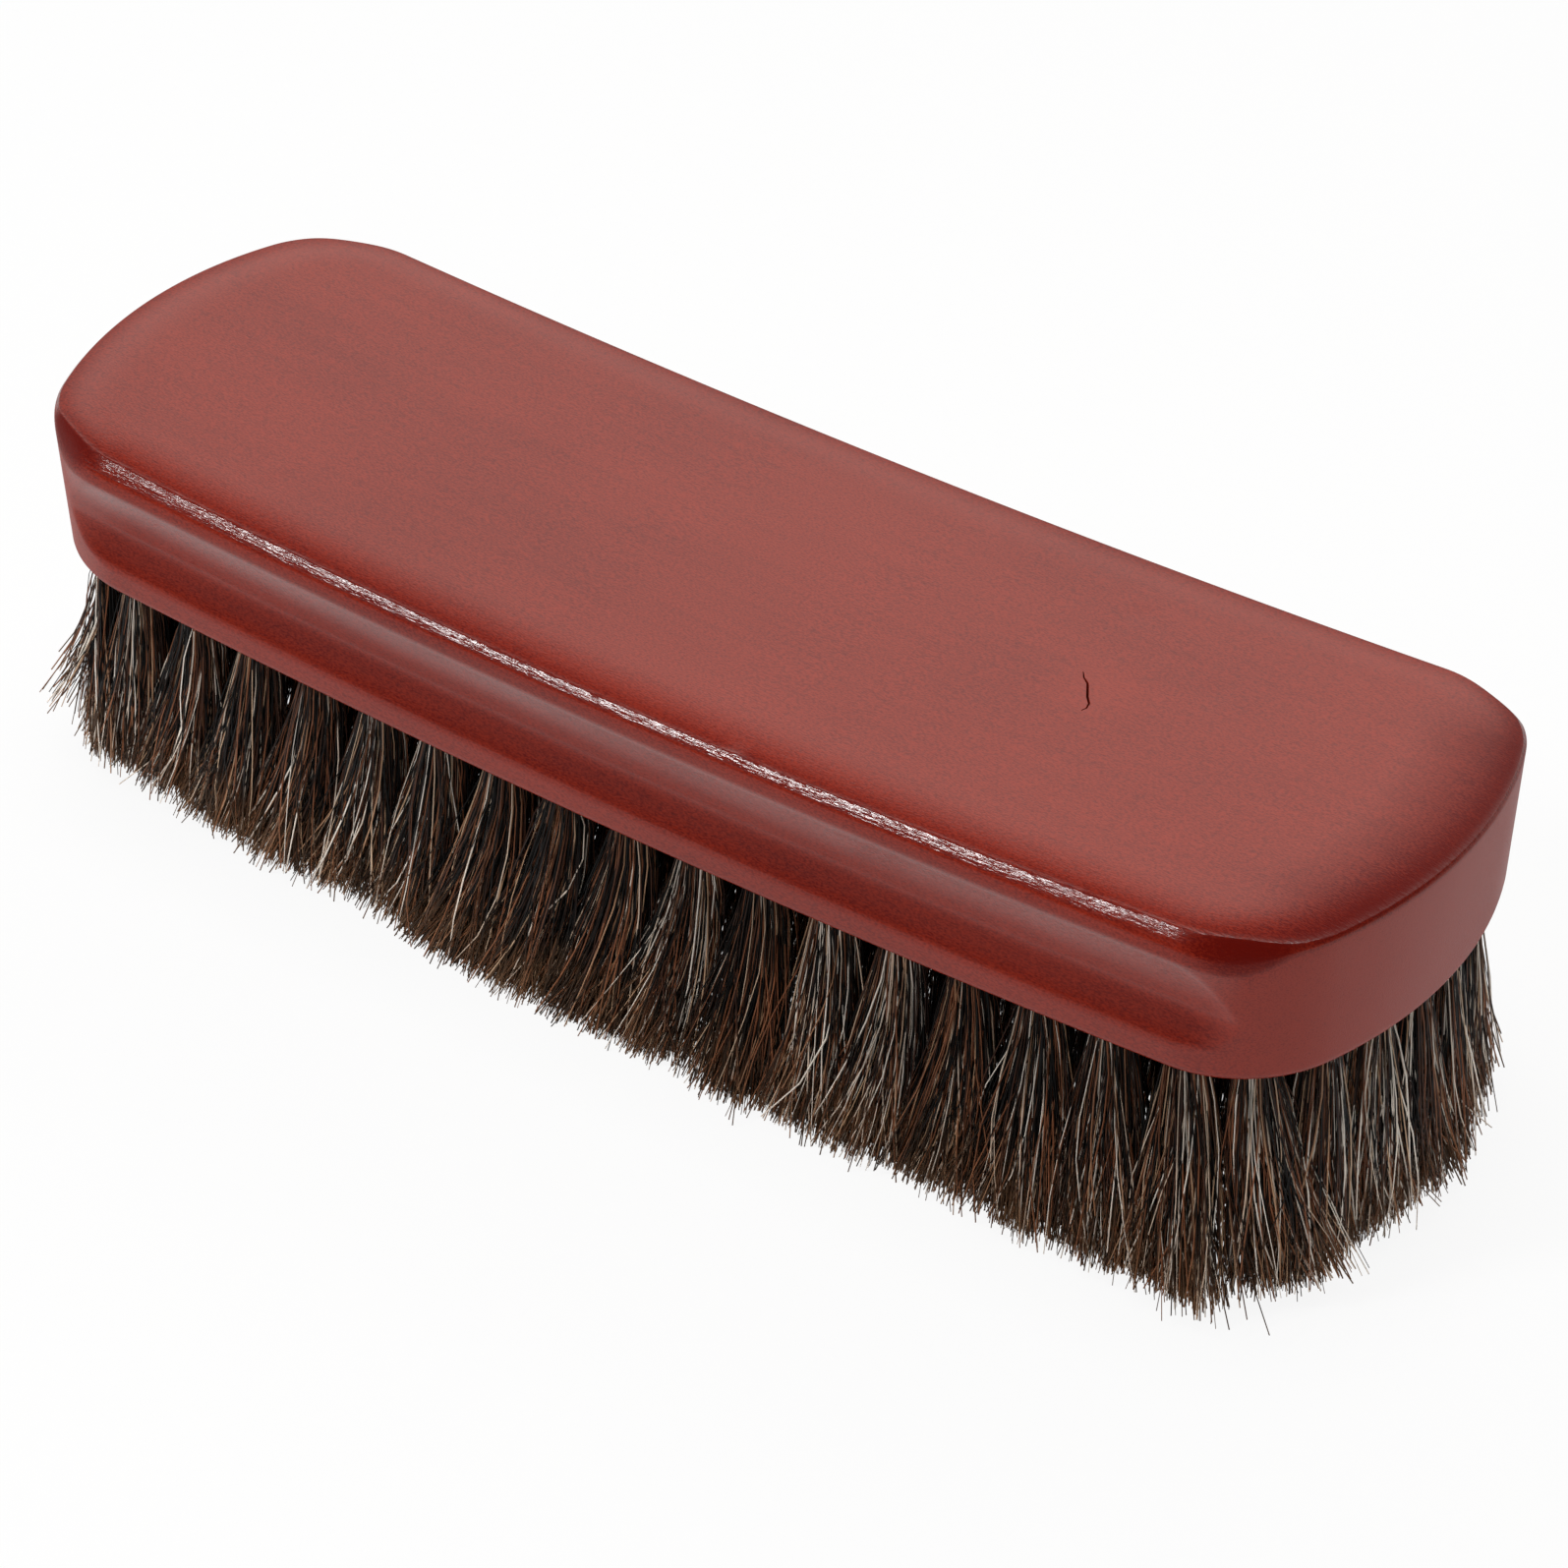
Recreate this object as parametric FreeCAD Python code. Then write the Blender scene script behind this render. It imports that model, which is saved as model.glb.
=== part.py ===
"""Shoe shine brush: a bowed hardwood block with finger coves, drilled for folded hair tufts on wire staples.

Axes: X along the block, Y across it, Z up. The origin lies under the middle of the brush, at the hair tips.
"""

import os
from math import atan2, cos, hypot, pi, sin, sqrt

import FreeCAD
import Part
from FreeCAD import Vector

# Wooden block
BLOCK_LENGTH = 170.0
BLOCK_WIDTH = 54.6
BLOCK_THICKNESS = 17.8
END_ARC_RISE = 8.6
CORNER_RADIUS = 15.4
END_LIFT = 3.3
WALL_LEAN = 1.2
ROLL_WIDTH = 7.0
ROLL_DROP = 1.0
RIM_ROUND = 1.0
FOOT_ROUND = 0.8
LIP_HEIGHT = 1.9
COVE_HEIGHT = 11.6
COVE_DEPTH = 2.0
COVE_EDGE_ROUND = 0.4

# Drilled holes and the hair set in them
CROSS_ROWS = 17
TUFTS_PER_ROW = 6
TUFTS_PER_END = 7
ROW_BULGE = 3.0
HOLE_DIAMETER = 4.8
HOLE_DEPTH = 9.0
HOLE_EDGE_MARGIN = 4.2
HAIR_LENGTH = 26.5
FAN_ALONG = 2.5
FAN_ACROSS = 3.0
FOLD_CHAMFER = 0.9

# Wire staples that hold each folded tuft
WIRE_DIAMETER = 0.7
CROWN_DEPTH = 6.0
LEG_BITE = 2.4

# Clearances
ROOT_CLEARANCE = 0.1
STAPLE_WALL_CLEARANCE = 0.05
WIRE_CLEARANCE = 0.1
TIP_GAP = 0.4

# Derived sizes
HALF_LENGTH = BLOCK_LENGTH / 2
HALF_WIDTH = BLOCK_WIDTH / 2
HOLE_RADIUS = HOLE_DIAMETER / 2
WIRE_RADIUS = WIRE_DIAMETER / 2
LEG_OFFSET = HOLE_RADIUS - WIRE_RADIUS - STAPLE_WALL_CLEARANCE
ROOT_RADIUS = HOLE_RADIUS - ROOT_CLEARANCE
BOTTOM_Z = HAIR_LENGTH
TOP_Z = BOTTOM_Z + BLOCK_THICKNESS
BOW_RADIUS = (HALF_LENGTH**2 + END_LIFT**2) / (2 * END_LIFT)
BOW_CENTRE_Z = TOP_Z + BOW_RADIUS
END_RADIUS = (HALF_WIDTH**2 + END_ARC_RISE**2) / (2 * END_ARC_RISE)
END_CENTRE_X = HALF_LENGTH - END_RADIUS
CORNER_Y = HALF_WIDTH - CORNER_RADIUS
CORNER_X = END_CENTRE_X + sqrt((END_RADIUS - CORNER_RADIUS)**2 - CORNER_Y**2)
CORNER_ANGLE = atan2(CORNER_Y, CORNER_X - END_CENTRE_X)
COVE_RADIUS = ((COVE_HEIGHT / 2)**2 + COVE_DEPTH**2) / (2 * COVE_DEPTH)
COVE_CENTRE_DROP = ROLL_DROP + LIP_HEIGHT + COVE_HEIGHT / 2
ROW_INSET = WALL_LEAN + HOLE_EDGE_MARGIN
OUTER_ROW_Y = HALF_WIDTH - ROW_INSET
OUTER_ROW_X = HALF_LENGTH - ROW_INSET
TOP_GRID = 2.6
OVERSIZE = 10.0


def bow_lift(x, radius=BOW_RADIUS):
    """Rise of a bowed surface above its middle at x."""
    return radius - sqrt(radius**2 - x**2)


def wall_inset(z):
    """How far the leaning side wall stands in from the top outline at height z."""
    return WALL_LEAN * (TOP_Z - z) / BLOCK_THICKNESS


def outline(inset, z):
    """Plan outline of the block, shrunk by inset, as a wire at height z."""
    side = HALF_WIDTH - inset
    corner = CORNER_RADIUS - inset
    end = END_RADIUS - inset
    middle = (pi / 2 + CORNER_ANGLE) / 2

    def at_corner(sx, sy, angle):
        return Vector(sx * (CORNER_X + corner * cos(angle)), sy * (CORNER_Y + corner * sin(angle)), z)

    def corner_arc(sx, sy, first, last):
        return Part.Arc(at_corner(sx, sy, first), at_corner(sx, sy, middle), at_corner(sx, sy, last)).toShape()

    def end_arc(sx, sy):
        tip = Vector(sx * (END_CENTRE_X + end), 0, z)
        return Part.Arc(at_corner(sx, sy, CORNER_ANGLE), tip, at_corner(sx, -sy, CORNER_ANGLE)).toShape()

    edges = [
        Part.makeLine(Vector(-CORNER_X, -side, z), Vector(CORNER_X, -side, z)),
        corner_arc(1, -1, pi / 2, CORNER_ANGLE),
        end_arc(1, -1),
        corner_arc(1, 1, CORNER_ANGLE, pi / 2),
        Part.makeLine(Vector(CORNER_X, side, z), Vector(-CORNER_X, side, z)),
        corner_arc(-1, 1, pi / 2, CORNER_ANGLE),
        end_arc(-1, 1),
        corner_arc(-1, -1, CORNER_ANGLE, pi / 2),
    ]
    return Part.Wire(edges)


def edge_distance(x, y):
    """Distance of a plan point in from the outline; negative outside it."""
    x = abs(x)
    y = abs(y)
    if atan2(y - CORNER_Y, x - CORNER_X) >= CORNER_ANGLE and x > CORNER_X:
        return CORNER_RADIUS - hypot(x - CORNER_X, y - CORNER_Y)
    return min(HALF_WIDTH - y, END_RADIUS - hypot(max(0.0, x - END_CENTRE_X), y))


def top_height(x, y):
    """Height of the bowed top, which rolls off toward its rim."""
    roll = max(0.0, 1 - edge_distance(x, y) / ROLL_WIDTH)
    return TOP_Z + bow_lift(x) - ROLL_DROP * roll**2


def even_steps(half, step):
    """Evenly spaced stations from -half to half, about step apart."""
    count = max(4, round(2 * half / step))
    return [half * (2 * i / count - 1) for i in range(count + 1)]


def top_surface():
    """Smooth cubic surface of the top, shaped by its heights on an even grid."""
    along = even_steps(HALF_LENGTH + WALL_LEAN + RIM_ROUND, TOP_GRID)
    across = even_steps(HALF_WIDTH + WALL_LEAN + RIM_ROUND, TOP_GRID)
    poles = [[Vector(x, y, top_height(x, y)) for y in across] for x in along]
    knots = [list(range(len(stations) - 2)) for stations in (along, across)]
    repeats = [[4] + [1] * (len(stations) - 4) + [4] for stations in (along, across)]
    surface = Part.BSplineSurface()
    surface.buildFromPolesMultsKnots(poles, repeats[0], repeats[1], knots[0], knots[1], False, False, 3, 3)
    return surface


def bow_frame(x, y):
    """Placement on the bowed bottom at (x, y), with local Z pointing up into the wood."""
    radius = BOW_RADIUS + BLOCK_THICKNESS
    angle = x / radius
    place = Vector(radius * sin(angle), y, BOW_CENTRE_Z - radius * cos(angle))
    return FreeCAD.Placement(place, FreeCAD.Rotation(Vector(0, 1, 0), -angle * 180 / pi))


def block_blank():
    """Block before drilling: leaning walls, bowed bottom, rolled top, rounded rims and two finger coves."""
    low = BOTTOM_Z - OVERSIZE
    high = TOP_Z + END_LIFT + OVERSIZE
    walls = Part.makeLoft([outline(wall_inset(low), low), outline(wall_inset(high), high)], True, True)
    reach = HALF_LENGTH + OVERSIZE
    bottom_radius = BOW_RADIUS + BLOCK_THICKNESS
    end_z = BOTTOM_Z + bow_lift(reach, bottom_radius)
    bottom = Part.Arc(Vector(-reach, 0, end_z), Vector(0, 0, BOTTOM_Z), Vector(reach, 0, end_z)).toShape()
    closing = Part.makePolygon([
        Vector(reach, 0, end_z),
        Vector(reach, 0, high + OVERSIZE),
        Vector(-reach, 0, high + OVERSIZE),
        Vector(-reach, 0, end_z),
    ])
    slab = Part.Face(Part.Wire([bottom] + closing.Edges))
    slab.translate(Vector(0, -BLOCK_WIDTH, 0))
    slab = slab.extrude(Vector(0, 2 * BLOCK_WIDTH, 0))
    above = top_surface().toShape().extrude(Vector(0, 0, 2 * OVERSIZE + END_LIFT))
    blank = walls.common(slab).cut(above)
    blank = round_rim(blank, True, RIM_ROUND)
    blank = round_rim(blank, False, FOOT_ROUND)
    for side in (-1, 1):
        blank = cut_cove(blank, side)
    return blank.Solids[0]


def round_rim(solid, top, radius):
    """Round the edge loop of the top face, or of the bottom face."""
    faces = sorted(solid.Faces, key=lambda face: face.CenterOfMass.z)
    face = faces[-1] if top else faces[0]
    return solid.makeFillet(radius, face.OuterWire.Edges)


def cut_cove(solid, side):
    """Cut the lengthwise finger cove of one side, following the bow, and ease its edge."""
    centre_z = TOP_Z - COVE_CENTRE_DROP
    deepest_y = side * (HALF_WIDTH - wall_inset(centre_z) - COVE_DEPTH)
    outer_y = deepest_y + side * COVE_RADIUS
    upper = Vector(0, outer_y, centre_z + COVE_RADIUS)
    lower = Vector(0, outer_y, centre_z - COVE_RADIUS)
    arc = Part.Arc(upper, Vector(0, deepest_y, centre_z), lower).toShape()
    profile = Part.Face(Part.Wire([arc, Part.makeLine(lower, upper)]))
    axis_point = Vector(0, 0, BOW_CENTRE_Z)
    half_angle = 180 / pi * (HALF_LENGTH + OVERSIZE) / BOW_RADIUS
    profile.rotate(axis_point, Vector(0, 1, 0), -half_angle)
    cut = solid.cut(profile.revolve(axis_point, Vector(0, 1, 0), 2 * half_angle))
    hollow = min(cut.Faces, key=lambda face: face.CenterOfMass.distanceToPoint(Vector(0, deepest_y, centre_z)))
    return cut.makeFillet(COVE_EDGE_ROUND, hollow.OuterWire.Edges)


def cross_row_places(row):
    """Plan places of the tufts in one cross row, whose middle stands out a little toward the nearer end."""
    share = 2 * row / (CROSS_ROWS - 1) - 1
    places = []
    for i in range(TUFTS_PER_ROW):
        y = OUTER_ROW_Y * (2 * i / (TUFTS_PER_ROW - 1) - 1)
        places.append((share * (CORNER_X + ROW_BULGE * (1 - (y / OUTER_ROW_Y)**2)), y))
    return places


def end_row_places(side):
    """Plan places of the tufts that follow one curved end, evenly spaced from corner to corner."""
    corner = CORNER_RADIUS - ROW_INSET
    end = END_RADIUS - ROW_INSET
    corner_run = corner * (pi / 2 - CORNER_ANGLE)
    half_run = corner_run + end * CORNER_ANGLE
    places = []
    for i in range(TUFTS_PER_END):
        along = half_run * (2 * (i + 1) / (TUFTS_PER_END + 1) - 1)
        to_side = half_run - abs(along)
        if to_side < corner_run:
            angle = pi / 2 - to_side / corner
            x = CORNER_X + corner * cos(angle)
            y = CORNER_Y + corner * sin(angle)
        else:
            angle = abs(along) / end
            x = END_CENTRE_X + end * cos(angle)
            y = end * sin(angle)
        places.append((side * x, y if along > 0 else -y))
    return places


def staple():
    """Staple in its hole: a crown across the fold of the tuft and two legs up into the wood."""
    tip = HOLE_DEPTH + LEG_BITE
    path = Part.makePolygon([
        Vector(0, -LEG_OFFSET, tip),
        Vector(0, -LEG_OFFSET, CROWN_DEPTH),
        Vector(0, LEG_OFFSET, CROWN_DEPTH),
        Vector(0, LEG_OFFSET, tip),
    ])
    section = Part.Wire([Part.makeCircle(WIRE_RADIUS, Vector(0, -LEG_OFFSET, tip), Vector(0, 0, 1))])
    return path.makePipeShell([section], True, False, 1)


def tuft_root():
    """Folded end of a tuft inside its hole, with a way through it for the staple's crown and legs."""
    height = HOLE_DEPTH - ROOT_CLEARANCE
    way = WIRE_RADIUS + WIRE_CLEARANCE
    root = Part.makeCylinder(ROOT_RADIUS, height)
    fold = [edge for edge in root.Edges if abs(edge.BoundBox.ZMin - height) < 1e-6]
    crown = Part.makeCylinder(way, HOLE_DIAMETER, Vector(0, -HOLE_RADIUS, CROWN_DEPTH), Vector(0, 1, 0))
    legs = [
        Part.makeCylinder(way, HOLE_DEPTH, Vector(0, side * LEG_OFFSET, CROWN_DEPTH - way))
        for side in (-1, 1)
    ]
    return root.makeChamfer(FOLD_CHAMFER, fold).cut([crown] + legs)


def tip_offset(x, y):
    """Where a tuft's tip lies from the mouth of its hole: the free length, fanned outward."""
    return Vector(FAN_ALONG * x / OUTER_ROW_X, FAN_ACROSS * y / OUTER_ROW_Y, -HAIR_LENGTH)


def tip_radii(places):
    """Tip radius at each place, such that neighbouring tips stay a gap apart."""
    tips = {place: bow_frame(*place).multVec(tip_offset(*place)) for place in places}
    radii = {}
    for place, tip in tips.items():
        nearest = min(tip.distanceToPoint(other) for key, other in tips.items() if key != place)
        radii[place] = (nearest - TIP_GAP) / 2
    return radii


def tuft(root, x, y, tip_radius):
    """One tuft in place: its root, and the free hair fanning out to a flat trimmed tip."""
    mouth = Part.Wire([Part.makeCircle(ROOT_RADIUS, Vector(0, 0, 0), Vector(0, 0, 1))])
    tip = Part.Wire([Part.makeCircle(tip_radius, tip_offset(x, y), Vector(0, 0, 1))])
    hair = Part.makeLoft([tip, mouth], True, True)
    return placed(root.fuse(hair).removeSplitter().Solids[0], x, y)


def hole_tool():
    """Drill and staple-leg space taken out of the wood for one tuft."""
    drill = Part.makeCylinder(HOLE_RADIUS, HOLE_DEPTH + OVERSIZE, Vector(0, 0, -OVERSIZE))
    legs = [
        Part.makeCylinder(WIRE_RADIUS, LEG_BITE + WIRE_DIAMETER, Vector(0, side * LEG_OFFSET, HOLE_DEPTH - WIRE_DIAMETER))
        for side in (-1, 1)
    ]
    return drill.fuse(legs)


def placed(shape, x, y):
    """Copy of a shape modelled at a hole's mouth, moved to the hole at (x, y)."""
    copy = shape.copy()
    copy.Placement = bow_frame(x, y)
    return copy


def main():
    """Build every node and write it to parts."""
    rows = [end_row_places(-1)] + [cross_row_places(row) for row in range(CROSS_ROWS)] + [end_row_places(1)]
    places = [place for row in rows for place in row]
    radii = tip_radii(places)
    tool = hole_tool()
    nodes = {"wooden_block": block_blank().cut([placed(tool, x, y) for x, y in places]).Solids[0]}
    root = tuft_root()
    wire = staple()
    for number, row in enumerate(rows, 1):
        nodes[f"hair_tufts_{number:02d}"] = Part.makeCompound([tuft(root, x, y, radii[x, y]) for x, y in row])
        nodes[f"wire_staples_{number:02d}"] = Part.makeCompound([placed(wire, x, y) for x, y in row])
    os.makedirs("parts", exist_ok=True)
    for name, shape in nodes.items():
        shape.exportStep(f"parts/{name}.step")


main()
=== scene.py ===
"""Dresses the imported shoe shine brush: stained wooden block, horsehair tufts, wire staples and a stage."""

from functools import reduce
from math import atan2, cos, degrees, hypot, pi, radians, sin, sqrt
from operator import add

import bpy
import numpy as np
from mathutils import Matrix, Vector


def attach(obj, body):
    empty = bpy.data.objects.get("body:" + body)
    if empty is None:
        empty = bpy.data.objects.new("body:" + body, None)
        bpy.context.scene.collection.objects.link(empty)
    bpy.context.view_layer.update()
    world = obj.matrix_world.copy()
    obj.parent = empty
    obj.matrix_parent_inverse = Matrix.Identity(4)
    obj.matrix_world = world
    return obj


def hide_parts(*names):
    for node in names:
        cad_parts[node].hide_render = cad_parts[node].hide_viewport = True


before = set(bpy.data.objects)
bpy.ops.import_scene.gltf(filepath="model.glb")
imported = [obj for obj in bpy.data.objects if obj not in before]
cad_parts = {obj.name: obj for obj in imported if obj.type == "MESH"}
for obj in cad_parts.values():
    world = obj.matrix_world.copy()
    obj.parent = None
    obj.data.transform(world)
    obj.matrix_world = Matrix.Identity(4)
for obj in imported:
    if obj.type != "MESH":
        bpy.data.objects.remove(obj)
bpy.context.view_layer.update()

bl_info = {
    "name": "Shoe Shine Brush",
    "version": (1, 0, 0),
    "blender": (4, 5, 0),
    "location": "3D View > Sidebar > Brush",
    "description": "Builds a wooden shoe shine brush with horsehair tufts around its packed solids",
    "category": "Object",
}

MM = 0.001
BODY = "root"
WHITE = (1.0, 1.0, 1.0, 1.0)

# Outline and walls of the block, as in the part's source
END_ARC_RISE = 8.6 * MM
CORNER_RADIUS = 15.4 * MM
WALL_LEAN = 1.2 * MM
FOOT_ROUND = 0.8 * MM

# The visible ends stand a little further in and straighter than the solid's
END_WALL_LEAN = 0.5 * MM
END_TRIM = 0.6 * MM

# Finger coves: their upper edge below the rim, how soft it is, where they are deepest, and how they curve
LIP_HEIGHT = 2.6 * MM
COVE_EDGE_EASE = 0.22 * MM
COVE_TURN = 0.61
COVE_RISE_POWER = 1.2
COVE_FALL_POWER = 1.6

# Bevel of the top edge: crown and wall tilt in degrees, its share in mid side and gain toward the corners,
# the broad facets that it swells into there, and the round turn into the wall
BEVEL_CROWN = 7.0
WALL_TILT = 82.0
BEVEL_MIDDLE = 0.80
BEVEL_GAIN = 0.50
CORNER_SWELL = 1.35
FACET_SPREAD = 0.45
TURN_ROUND = 1.85

# Steps and rings of the block's mesh, and the angle in degrees over which an edge stays sharp
SIDE_STEPS = 100
CORNER_STEPS = 36
END_STEPS = 28
ROLL_STEPS = 12
ROLL_CROWD = 1.4
BEVEL_STEPS = 8
TURN_STEPS = 6
WALL_STEPS = 40
FOOT_STEPS = 5
SPINE_STEPS = 8
INNER_RING = 12.0 * MM
ARRIS_RING = 0.04 * MM
DRILL_SIDES = 24
WELD_DISTANCE = 1e-7
SHARP_ANGLE = 38.0

# Marks on the block's skin: painted shade beside the rim, on the bevel, in its turn, under the lip and in
# the cove's foot, which also masks the bevel's gloss; polish where fingers rub; painted shade on the corner
# facets and the right end, and painted light on the end walls
BLOCK_MARKS = ("rim_shade", "edge_polish", "edge_stain")
# Painted shade beside the rim, darker where the rim faces away from the light behind the brush
RIM_SHADE = 0.85
RIM_SHADE_MEAN = 0.7
RIM_SHADE_SWING = 0.3
SHADE_WIDTH = 3.2 * MM
END_SHADE_GAIN = 1.2
# Painted shade in the bevel's turn into the wall
TURN_SHADE = 0.15
BEVEL_FADE = 0.20
RIGHT_FADE = 0.12
RIGHT_FADE_RUN = (30 * MM, 65 * MM)
# Painted shade on the corner facets and at the right end of the top, and painted light on the end walls
FACET_PAINTED_SHADE = 2.2
FACET_PAINTED_SHADE_FOOT = 0.3
END_PAINTED_SHADE = 0.80
END_PAINTED_SHADE_POWER = 0.8
END_WALL_PAINTED_LIGHT = 0.7
# Painted shade in the band under the rim
LIP_SHADE = 0.26
LIP_SHADE_DEPTH = 2.6 * MM
# Painted shade in the foot of the finger coves
COVE_SHADE = 0.55
COVE_SHADE_BAND = np.array([-5.6, -2.4, -0.9, 0.0]) * MM
RUB_BAND = np.array([-0.5, 0.3, 0.6, 5.0]) * MM
CORNER_MARK_FADE = 4.0

# Rows and holes, as in the part's source
CROSS_ROWS = 17
TUFTS_PER_ROW = 6
TUFTS_PER_END = 7
ROW_BULGE = 3.0 * MM
HOLE_RADIUS = 2.4 * MM
HOLE_DEPTH = 9.0 * MM
HOLE_EDGE_MARGIN = 4.2 * MM

# Visible hair: the bundle in its hole, and the height of the lowest tips, where the floor lies
ROOT_RADIUS = 2.0 * MM
ROOT_DEPTH = 7.0 * MM
LOWEST_TIP = -0.4 * MM

# At places along the block: how far the tips lean along it and fan out sideways, and how pale the hair is
TUFT_PLACES = np.array([-80, -60, -40, 0, 40, 60, 80]) * MM
LEAN_TIPS = np.array([0.4, -3.6, -5.6, -4.5, -1.0, 0.4, -0.2]) * MM
FAN_TIPS = np.array([-1.6, 0.0, 1.8, 3.6, 4.0, 4.0, 3.6]) * MM
TONE_SHIFTS = [0.0, 0.0, 0.0, -0.01, -0.01, 0.04, 0.12]
END_FAN = 0.8 * MM
LEAN_SCATTER = 0.8 * MM
FAN_SCATTER = 0.4 * MM
TONE_SCATTER = 0.07
TUFT_SEED = 11
ROW_SEED = 100

# Loose locks that flick out at the left front corner
FLICK = Vector((-3.4, -2.4, 4.8)) * MM
FLICKED_TUFTS = (0, 1)
FLICKED_LOCKS = 2

# One hair: its points and sides, how its offsets grow toward the tip, and its chances
HAIR_POINTS = 7
HAIR_SIDES = 3
LOCK_STRIDE = 64.0
LOCK_POWER = 1.5
OPENING_POWER = 1.3
LEAN_POWER = 1.6
FLICK_POWER = 1.4
OWN_SCATTER = 0.7
LOCK_SCATTER = 1.4
SHORT_SHARE = 0.04
SHORT_CUT = 0.25
STRAY_SHARE = 0.025
STRAY_GAIN = 2.0
BOW_SHARE = 0.7
RIPPLE_SHARE = 0.3
THICKNESS = (0.62, 1.38)
TIP_TAPER = (0.55, 1.0, 1.0, 0.8)

# Settings of the tufts that feed the inputs of the same name in their node tree
HAIR_SIZES = (
    "hair_diameter", "free_length", "spread_along", "spread_outer", "spread_inner",
    "length_scatter", "wander", "locks", "lock_pull", "crossing",
)

# Drying crack beside a small knot on the top, as places along and across in millimetres
CRACK_LINE = [
    (37.4, 4.5), (38.0, 3.7), (38.9, 3.0), (39.6, 1.9),
    (40.1, 1.1), (40.9, 0.2), (41.1, -0.6), (40.9, -1.3),
]
CRACK_HALF_WIDTH = 0.26 * MM
CRACK_ENDS = 0.2
CRACK_TAPER = 0.06
CRACK_DEPTH = 1.2 * MM
CRACK_CLEAR = 1.0 * MM

# Small dents and bumps in the finish, in millimetres: place along, across and up, size, depth
DENTS = [
    (58.2, -26.5, 45.8, 0.9, 0.22),
    (16.2, -26.0, 43.9, 0.7, -0.16),
    (36.8, 16.2, 44.9, 0.8, 0.10),
    (50.4, 8.5, 45.5, 0.9, 0.12),
    (-20.0, 5.0, 44.5, 0.7, -0.05),
    (-52.0, -16.0, 45.5, 0.6, -0.06),
]
DENT_STRETCH = (0.6, 1.0, 1.0)

# Grain of the wood: shrink along the length, scale, detail, and the noise levels between which it rises
STREAK = (0.05, 900.0, 3.0, 0.35, 0.75)
FIBRE = (0.4, 6500.0, 2.0, 0.35, 0.72)
PORE = (0.22, 5600.0, 1.0, 0.62, 0.72)
CLOUD = (0.5, 42.0, 3.0, 0.35, 0.70)
# The rim and edge weights paint shade into the stain, and paint light where the edge marks are negative
GRAIN_AND_PAINTED_SHADE_WEIGHTS = {
    "streak": 0.12, "fibre": 0.66, "pore": 0.14, "rim": 0.45,
    "painted_shading": 0.62, "cloud": 0.16, "patches": 0.55, "knot": -0.16,
}

# Pale knot beside the crack, as place and radius, and darker patches on the top, with their weight
KNOT = ((0.0405, 0.0022, 0.0451), 0.0075)
PATCHES = [((-0.0527, 0.0039, 0.0456), 0.013, 0.26), ((-0.0166, -0.0072, 0.0444), 0.016, 0.22)]

# Lacquer: fine unevenness everywhere, and lengthwise streaks on the worn edge, as shrink, scale and detail
PEEL = (0.28, 6500.0, 2.0)
WORN_STREAKS = (0.10, 3400.0, 2.0)
RIM_PEEL = 0.6
PORE_DEPTH = 0.6
FIBRE_DEPTH = 0.25
BUMP = {"Strength": 0.35, "Distance": 0.00005}
WOOD_ROUGHNESS = 0.38
CLOUD_ROUGHNESS = 0.05
PORE_ROUGHNESS = 0.12

# Ramps of the lacquer's gloss: from, to, and the values at both
WORN_EDGE = (0.5, 1.0, 0.0, 6.0)
SATIN_FACING = (0.52, 0.88, 0.38, 0.03)
SATIN_RIM = (0.08, 0.55, 1.0, 0.35)
SATIN_UNDER_PAINTED_SHADE = (0.0, 0.7, 1.0, 0.4)
GLOSSY_EDGE = (0.55, 1.0, 0.0, 0.75)
RUBBED_GLOSS = 0.5

# Tones of the hair, from the commonest on; a ramp along the hair that paints shade toward the root, under
# the block, and light toward the tip; and ramps over its patches
TONE_STOPS = [
    (0.0, "black"), (0.38, "black"), (0.50, "brown"), (0.60, "brown"), (0.72, "rust"), (0.80, "rust"),
    (0.88, "tan"), (0.95, "grey"),
]
HAIR_PATCHES = ((1.0, 1.0, 0.35), 260.0, 2.0, 0.3, 0.75)
PAINTED_SHADE_ALONG_HAIR = (0.0, 1.0, 0.6, 1.15)
PATCH_LIGHT = 0.35
WORN_TIP = (0.62, 1.0)
WORN_PATCH = (0.0, 0.8, 0.15, 0.5)
HAIR_ROUGHNESS = (0.0, 1.0, 0.34, 0.5)

# Drawn wire and floor paper: stretch, scale, detail and levels of their drift, and how dark it makes them
WIRE_LINES = ((1.0, 1.0, 0.08), 9000.0, 2.0, 0.3, 0.7)
WIRE_DULLNESS = ((1.0, 1.0, 1.0), 700.0, 3.0, 0.35, 0.7)
WIRE_SHADE = 0.62
WIRE_ROUGHNESS = (0.0, 1.0, 0.26, 0.44)
PAPER_SPECKLE = ((1.0, 1.0, 1.0), 500.0, 2.0, 0.3, 0.7)
PAPER_SHADE = 0.98

# Camera found from the photograph: place in metres, angles in degrees, lens in millimetres
CAMERA_PLACE = (0.249636, -0.346427, 0.348012)
CAMERA_AZIMUTH = 35.4046
CAMERA_ELEVATION = 37.8356
CAMERA_ROLL = 0.2067
CAMERA_LENS = 115.126
SENSOR_WIDTH = 36.0

# Softboxes: heading, elevation in degrees, distance and size in metres
OVERHEAD_BOX = ((0.0, 1.0), 90.0, 1.2, 0.6)
LIP_BOX = ((-0.60, -0.77), 43.0, 1.0, 0.16)
FLOOR_HALF = 2.5
FLOOR_WHITE = 0.9
SEEING_RAYS = ("Camera", "Glossy", "Transmission")

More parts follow.
